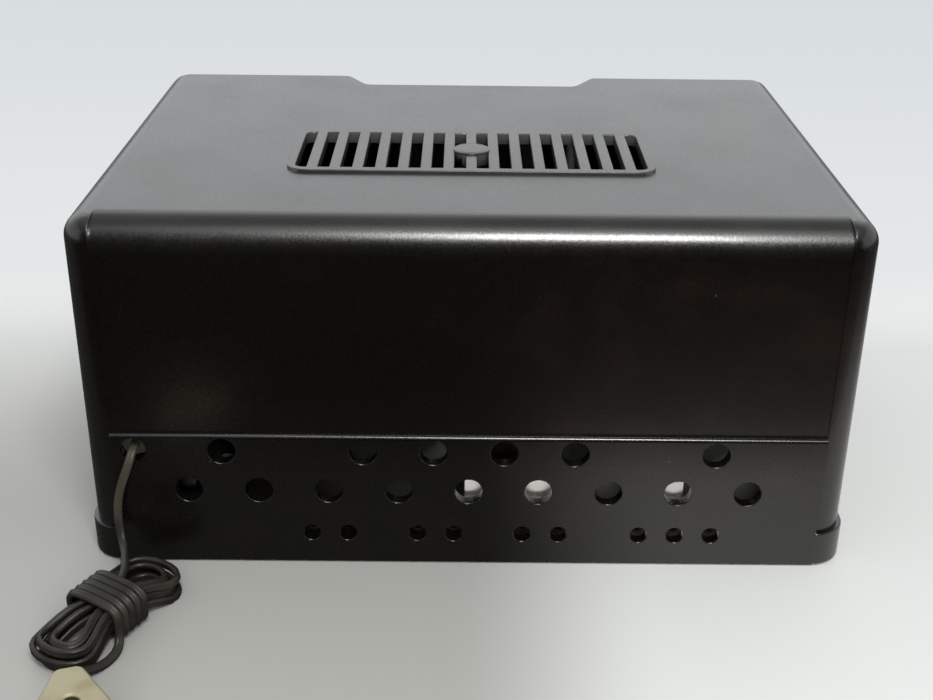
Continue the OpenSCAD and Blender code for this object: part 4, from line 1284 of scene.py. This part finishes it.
@dataclass
class Cabinet:
    """The moulded housing, its hole panel and the plain disc of its grille."""

    plate_top: float = 0.1917
    disc_top: float = 0.1925
    disc_at: Pair = (0.0, 0.0378)
    disc_clear: float = 0.0125
    disc_radius: float = 0.0092
    disc_thick: float = 0.0006
    disc_sink: float = 0.00012
    disc_ease: float = 0.00012
    disc_rings: tuple[Pair, ...] = ((0.0007, -0.00015), (0.0005, 0.0), (0.0003, 0.00015), (0.0032, -0.0001))
    rim_top: float = 0.02
    rim_half: Pair = (0.19, 0.12)
    rim_middle: float = 0.0108
    foot: float = 0.001
    post_x: float = 0.183
    crease_from: Pair = (0.125, 0.165)
    brow_at: Pair = (-0.1, 0.1895)
    ledge: float = 0.0765
    panel_face: float = 0.1542
    panel_foot: float = 0.003
    panel_edge: float = 0.0002

    def _grille(self, middle: Vector, one: Vector, two: Vector) -> bool:
        """Whether an edge is one of the raised plate's, away from the disc."""
        away = (middle.xy - Vector(self.disc_at)).length > self.disc_clear
        return away and abs(middle.z - self.plate_top) < NEAR and min(abs(one.z), abs(two.z)) < 0.05

    def _disc_rim(self, middle: Vector, one: Vector, two: Vector) -> bool:
        """Whether an edge is the disc's upper one."""
        return abs(middle.z - self.disc_top) < NEAR

    def _crease(self, middle: Vector, one: Vector, two: Vector) -> bool:
        """Whether an edge is one of the corner posts' inner ones."""
        high = middle.y > self.crease_from[0] and middle.z > self.crease_from[1]
        return high and abs(abs(middle.x) - self.post_x) < NEAR

    def _base(self, middle: Vector, one: Vector, two: Vector) -> bool:
        """Whether an edge is one of the base rim's outer ones.

        Args:
            middle: The edge's middle.
            one: The normal of its first face.
            two: The normal of its second face.

        Returns:
            Whether it is.
        """
        side, back = self.rim_half
        outer = abs(middle.x) > side or abs(middle.y - self.rim_middle) > back
        level = min(abs(middle.z - self.rim_top), abs(middle.z - self.foot)) < NEAR
        return outer and level and abs(abs(one.z) + abs(two.z) - 1.0) < 0.1

    def _brow(self, middle: Vector, one: Vector, two: Vector) -> bool:
        """Whether an edge is the top's front one."""
        return middle.y < self.brow_at[0] and middle.z > self.brow_at[1] and max(one.z, two.z) > 0.9

    def _hole_rim(self, middle: Vector, one: Vector, two: Vector) -> bool:
        """Whether an edge is a hole's outer one in the panel.

        Args:
            middle: The edge's middle.
            one: The normal of its first face.
            two: The normal of its second face.

        Returns:
            Whether it is.
        """
        inside = abs(middle.x) < self.post_x - self.panel_edge
        inside = inside and self.panel_foot < middle.z < self.ledge - self.panel_edge
        return inside and abs(middle.y - self.panel_face) < NEAR and min(abs(one.y), abs(two.y)) < 0.05

    def _ledge_line(self, middle: Vector, one: Vector, two: Vector) -> bool:
        """Whether an edge is the panel's upper outer one."""
        there = abs(middle.y - self.panel_face) < NEAR and abs(middle.z - self.ledge) < NEAR
        return there and max(one.z, two.z) > 0.9

    @staticmethod
    def _moulding(node: str, name: str, roundings: Sequence[tuple[EdgeTest, float, int]],
                  resin: Material) -> Object:
        """Make one moulding with its arrises eased.

        Args:
            node: Its CAD node.
            name: Its name.
            roundings: Tests of edges, each with a width and its facets.
            resin: Its finish.

        Returns:
            The moulding.
        """
        item = Bench.copied(node, name)
        for wanted, width, segments in roundings:
            Bench.ease(item, wanted, width, segments)
        return Bench.finished(item, "bakelite", resin)

    def boss(self, resin: Material) -> Object:
        """Make the disc's raised rings.

        Args:
            resin: Their finish.

        Returns:
            The rings.
        """
        bpy.ops.object.select_all(action="DESELECT")
        place = (*self.disc_at, self.disc_top - self.disc_sink)
        bpy.ops.mesh.primitive_cylinder_add(vertices=72, radius=self.disc_radius, depth=self.disc_thick,
                                            location=place)
        item = Bench.settle(bpy.context.object)
        item.name = "grille_disc"
        Bench.edit(item, [face.index for face in item.data.polygons if face.normal.z > 0.9], Select.FACES)
        for thick, rise in self.disc_rings:
            bpy.ops.mesh.inset(thickness=thick)
            bpy.ops.transform.translate(value=(0.0, 0.0, rise))
        bpy.ops.object.mode_set(mode="OBJECT")
        Bench.ease(item, lambda middle, one, two: middle.z > self.disc_top, self.disc_ease, 2, 30.0)
        Bench.smooth(item)
        return Bench.fitted(item, Body.SET, "bakelite", resin)

    def build(self, resin: Material) -> list[Object]:
        """Make the cabinet's pieces.

        Args:
            resin: Their finish.

        Returns:
            The pieces.
        """
        shell = ((self._grille, 0.0005, 2), (self._crease, 0.0006, 3), (self._disc_rim, 0.0003, 2),
                 (self._base, 0.0008, 3), (self._brow, 0.0012, 3))
        panel = ((self._hole_rim, 0.0004, 2), (self._ledge_line, 0.0002, 2))
        return [self._moulding("housing", "cabinet", shell, resin),
                self._moulding("back_panel", "hole_panel", panel, resin), self.boss(resin)]


@dataclass(frozen=True)
class KnobPlace:
    """Where a knob stands and which body turns it."""

    node: str
    body: Body
    middle: Pair
    reach: float


@dataclass
class Knobs:
    """Control knobs with eased flutes and a pale mark each."""

    ease: float = 0.0004
    mark_wide: float = 0.0011
    mark_deep: float = 0.0005
    mark_share: float = 0.62
    mark_sink: float = 0.0001
    mark_round: float = 0.35
    places: tuple[KnobPlace, ...] = (
        KnobPlace("tuning_knob", Body.TUNER, (0.0, 0.064), 0.018),
        KnobPlace("volume_knob", Body.VOLUME, (-0.135, 0.064), 0.012),
        KnobPlace("reaction_knob", Body.REACTION, (0.135, 0.064), 0.012),
        KnobPlace("wave_knob", Body.WAVE, (-0.047, 0.043), 0.006))

    def _mark(self, place: KnobPlace, front: float, paint: Material) -> Object:
        """Make the mark that points out from a knob's middle.

        Args:
            place: The knob's place.
            front: Depth of the knob's front face.
            paint: The mark's finish.

        Returns:
            The mark.
        """
        bpy.ops.object.select_all(action="DESELECT")
        long = place.reach * self.mark_share
        at = (place.middle[0], front + self.mark_sink, place.middle[1] + place.reach - long / 2)
        bpy.ops.mesh.primitive_cube_add(size=1.0, location=at)
        item = bpy.context.object
        item.name = f"{place.node}_mark"
        item.scale = (self.mark_wide, self.mark_deep, long)
        Bench.settle(item)
        Bench.ease(item, Bench.upright, self.mark_wide * self.mark_round, 3)
        Bench.smooth(item)
        return Bench.fitted(item, place.body, "ivory", paint)

    def build(self, resin: Material, paint: Material) -> list[Object]:
        """Make the knobs.

        Args:
            resin: Their finish.
            paint: Finish of their marks.

        Returns:
            The knobs and their marks.
        """
        made = []
        for place in self.places:
            item = Bench.copied(place.node, f"{place.node}_moulding")
            front = min(v.co.y for v in item.data.vertices)
            Bench.ease(item, lambda middle, one, two: min(one.y, two.y) < -0.6, self.ease, 2, 35.0)
            made += [Bench.finished(item, "bakelite", resin), self._mark(place, front, paint)]
        return made


@dataclass
class Dial:
    """Ticks and numbers on the turning scale."""

    axis: Pair = (0.0, 0.12)
    face: float = -0.1014
    outer: float = 0.0432
    number_at: float = 0.0335
    number_size: float = 0.0062
    step: float = 1.8
    tens: Pair = (0.0048, 0.0006)
    fives: Pair = (0.0036, 0.00046)
    twos: Pair = (0.0024, 0.00034)
    tick_round: float = 0.3
    ink_thick: float = 0.00008

    def _turned(self, item: Object, degrees: float, radius: float) -> Object:
        """Put a flat piece that lies in X and Y on the dial.

        Args:
            item: The piece.
            degrees: Angle from the vertical.
            radius: Distance from the axis.

        Returns:
            The piece with its place in its mesh.
        """
        middle = Matrix.Translation((self.axis[0], self.face, self.axis[1]))
        swing = Matrix.Rotation(math.radians(degrees), 4, "Y")
        stand = Matrix.Translation((0.0, 0.0, radius)) @ Matrix.Rotation(math.radians(90), 4, "X")
        item.matrix_world = middle @ swing @ stand
        return Bench.settle(item)

    def _tick(self, long: float, wide: float) -> Object:
        """Make one tick lying in X and Y, with its outer end at the origin.

        Args:
            long: Its length.
            wide: Its width.

        Returns:
            The tick.
        """
        bpy.ops.object.select_all(action="DESELECT")
        bpy.ops.mesh.primitive_cube_add(size=1.0, location=(0.0, -long / 2, 0.0))
        item = bpy.context.object
        item.scale = (wide, long, self.ink_thick)
        Bench.settle(item)
        Bench.ease(item, Bench.upright, wide * self.tick_round, 2)
        return item

    def _number(self, value: int) -> Object:
        """Make one number lying in X and Y.

        Args:
            value: The number.

        Returns:
            The number as a mesh.
        """
        bpy.ops.object.select_all(action="DESELECT")
        bpy.ops.object.text_add()
        item = bpy.context.object
        item.data.body = str(value)
        item.data.size = self.number_size
        item.data.extrude = self.ink_thick / 2
        item.data.align_x, item.data.align_y = "CENTER", "CENTER"
        Bench.pick(item)
        bpy.ops.object.convert(target="MESH")
        return bpy.context.object

    def build(self, ink: Material) -> list[Object]:
        """Make the marks as one piece that turns with the scale.

        Args:
            ink: Their finish.

        Returns:
            The marks.
        """
        patterns = {size: self._tick(*size) for size in (self.tens, self.fives, self.twos)}
        ticks = [(value, self.twos if value % 10 else self.tens) for value in range(0, 101, 2)]
        ticks += [(value, self.fives) for value in range(5, 100, 10)]
        parts = []
        for value, size in ticks:
            tick = Bench.placed("tick", patterns[size].data.copy())
            parts.append(self._turned(tick, (50 - value) * self.step, self.outer))
        for value in range(0, 101, 10):
            parts.append(self._turned(self._number(value), (50 - value) * self.step, self.number_at))
        Bench.pick(*parts)
        bpy.ops.object.join()
        item = bpy.context.object
        item.name = "dial_marks"
        for pattern in patterns.values():
            bpy.data.objects.remove(pattern)
        return [Bench.fitted(item, Body.ROTOR, "scale", ink)]


@dataclass
class FinishChart:
    """Finishes by name, each with the solids that are shown as they are in it."""

    rows: dict[str, tuple[Finish, tuple[str, ...]]] = field(default_factory=lambda: {
        "resin_plain": (MouldedResin(dusty=False), ("valve_bases", "valve_sockets", "volume_body")),
        "steel": (AgedMetal((0.56, 0.55, 0.52), (0.24, 0.22, 0.19), 0.3, (1.0, 1.0, 0.1)),
                  ("chassis", "cabinet_screws", "transformer_bolts", "dial_bracket", "capacitor_frame",
                   "rotor_shaft", "tuning_spindle", "volume_spindle", "reaction_spindle", "wave_spindle",
                   "control_brackets", "toggle_body", "toggle_lever")),
        # Brass darkened by tarnish and by painted shade, for the sockets behind the holes and the plug's
        # sunk screw.
        "tarnished_and_shaded_brass": (AgedMetal((0.075, 0.062, 0.042), (0.03, 0.025, 0.018), 0.5, (0.2, 1.0, 0.2)),
                      ("plug_sockets",)),
        # Fibre darkened nearly to black by painted shade, for the strip inside the back panel's holes.
        "fibre_in_painted_shade": (Board((0.05, 0.045, 0.04), (0.025, 0.022, 0.02), 0.5, 400.0), ("socket_strip",)),
        "brass": (AgedMetal((0.55, 0.38, 0.14), (0.2, 0.12, 0.05), 0.26, (0.2, 1.0, 0.2)),
                  ("rotor_plates", "drive_disc", "escutcheon", "lamp_holder", "friction_pulley",
                   "reaction_vanes")),
        "aluminium": (AgedMetal((0.72, 0.72, 0.7), (0.42, 0.42, 0.4), 0.3, (1.0, 0.2, 1.0)),
                      ("stator_plates",)),
        "can": (AgedMetal((0.4, 0.38, 0.33), (0.2, 0.17, 0.13), 0.45, (1.0, 1.0, 0.3)),
                ("block_condenser",)),
        "electrode": (AgedMetal((0.14, 0.14, 0.14), (0.06, 0.06, 0.06), 0.5, (1.0, 1.0, 0.2)),
                      ("valve_electrodes",)),
        "rubber": (Board((0.03, 0.03, 0.03), (0.015, 0.015, 0.015), 0.6, 800.0), ("feet", "cord_clamp")),
        "fibre": (Board((0.24, 0.11, 0.05), (0.12, 0.05, 0.022), 0.5, 400.0),
                  ("base_cover", "tag_board", "coil_former", "reaction_stator", "wave_switch_body")),
        "resistor": (Board((0.32, 0.08, 0.04), (0.2, 0.05, 0.03), 0.4, 500.0), ("resistors",)),
        "iron": (Layered((0.07, 0.065, 0.06), (0.02, 0.018, 0.016), 0.0007, Axis.Y, 0.5),
                 ("transformer_core", "choke_core")),
        "paper_coil": (Layered((0.13, 0.085, 0.04), (0.05, 0.03, 0.012), 0.0012, Axis.Z),
                       ("transformer_coil", "choke_coil")),
        "green_coil": (Layered((0.16, 0.26, 0.1), (0.05, 0.09, 0.03), 0.0006, Axis.Z), ("coil_winding",)),
        "porcelain": (Glazed(), ("fuse_holder", "aerial_insulator", "stator_insulators")),
        # The terminal block is darkened below 56.5 mm by painted shade.
        "terminal_block": (Glazed(base_to=0.0565), ("mains_terminal",)),
        "valve_glass": (ClearGlass(alpha=0.14, silver_from=0.118), ("valve_bulbs",)),
        "window_glass": (ClearGlass((0.9, 0.82, 0.6), 0.25), ("dial_window",)),
        "lamp_glass": (ClearGlass((0.95, 0.9, 0.75), 0.4), ("dial_lamp",)),
        "cream_paint": (Board((0.72, 0.66, 0.5), (0.5, 0.42, 0.28), 0.45, 900.0, (1.0, 1.0, 1.0), 0.00005),
                        ()),
        "ink": (Board((0.02, 0.016, 0.012), (0.05, 0.035, 0.02), 0.5, 900.0, (1.0, 1.0, 1.0), 0.00002), ()),
        "celluloid": (Board((0.72, 0.62, 0.4), (0.6, 0.48, 0.28), 0.35, 300.0, (1.0, 1.0, 1.0), 0.0001),
                      ("dial_scale",)),
    })

    def material(self, name: str) -> Material:
        """A finish's material, made once."""
        return bpy.data.materials.get(name) or self.rows[name][0].build(name)

    def dress(self) -> list[Object]:
        """Dress the solids that are shown as they are.

        Returns:
            The dressed solids.
        """
        made = []
        for name, (_, nodes) in self.rows.items():
            for node in nodes:
                item = frame["nodes"][node]
                Bench.dress(item, self.material(name))
                made.append(item)
        return made


def report(step: str, work: Callable[[], list[Object]]) -> list[Object]:
    """Run one building step and log its pieces.

    Args:
        step: The step's name.
        work: The step.

    Returns:
        The step's pieces.
    """
    made = work()
    for item in made:
        LOG.info("%s: %s, %d faces", step, item.name, len(item.data.polygons))
    return made


def main() -> None:
    """Build the studio and the radio's pieces in order."""
    logging.basicConfig(level=logging.INFO, format="%(name)s %(message)s")
    chart = FinishChart()
    Studio().build()
    lead = SupplyLead()
    cord = report("lead", lambda: lead.build(RubberFlex().build("rubber_flex")))
    ivory = IvoryResin().build("ivory")
    # The screw's brass is darkened by tarnish and painted shade.
    brass, dull = chart.material("brass"), chart.material("tarnished_and_shaded_brass")
    plug = report("plug", lambda: MainsPlug().build(ivory, brass, dull))
    lead.declare(cord[0])
    resin = MouldedResin().build("resin")
    report("cabinet", lambda: Cabinet().build(resin))
    knob_resin = MouldedResin(dusty=False).build("knob_resin")
    report("knobs", lambda: Knobs().build(knob_resin, chart.material("cream_paint")))
    report("dial", lambda: Dial().build(chart.material("ink")))
    report("solids", chart.dress)


if __name__ == "__main__":
    main()
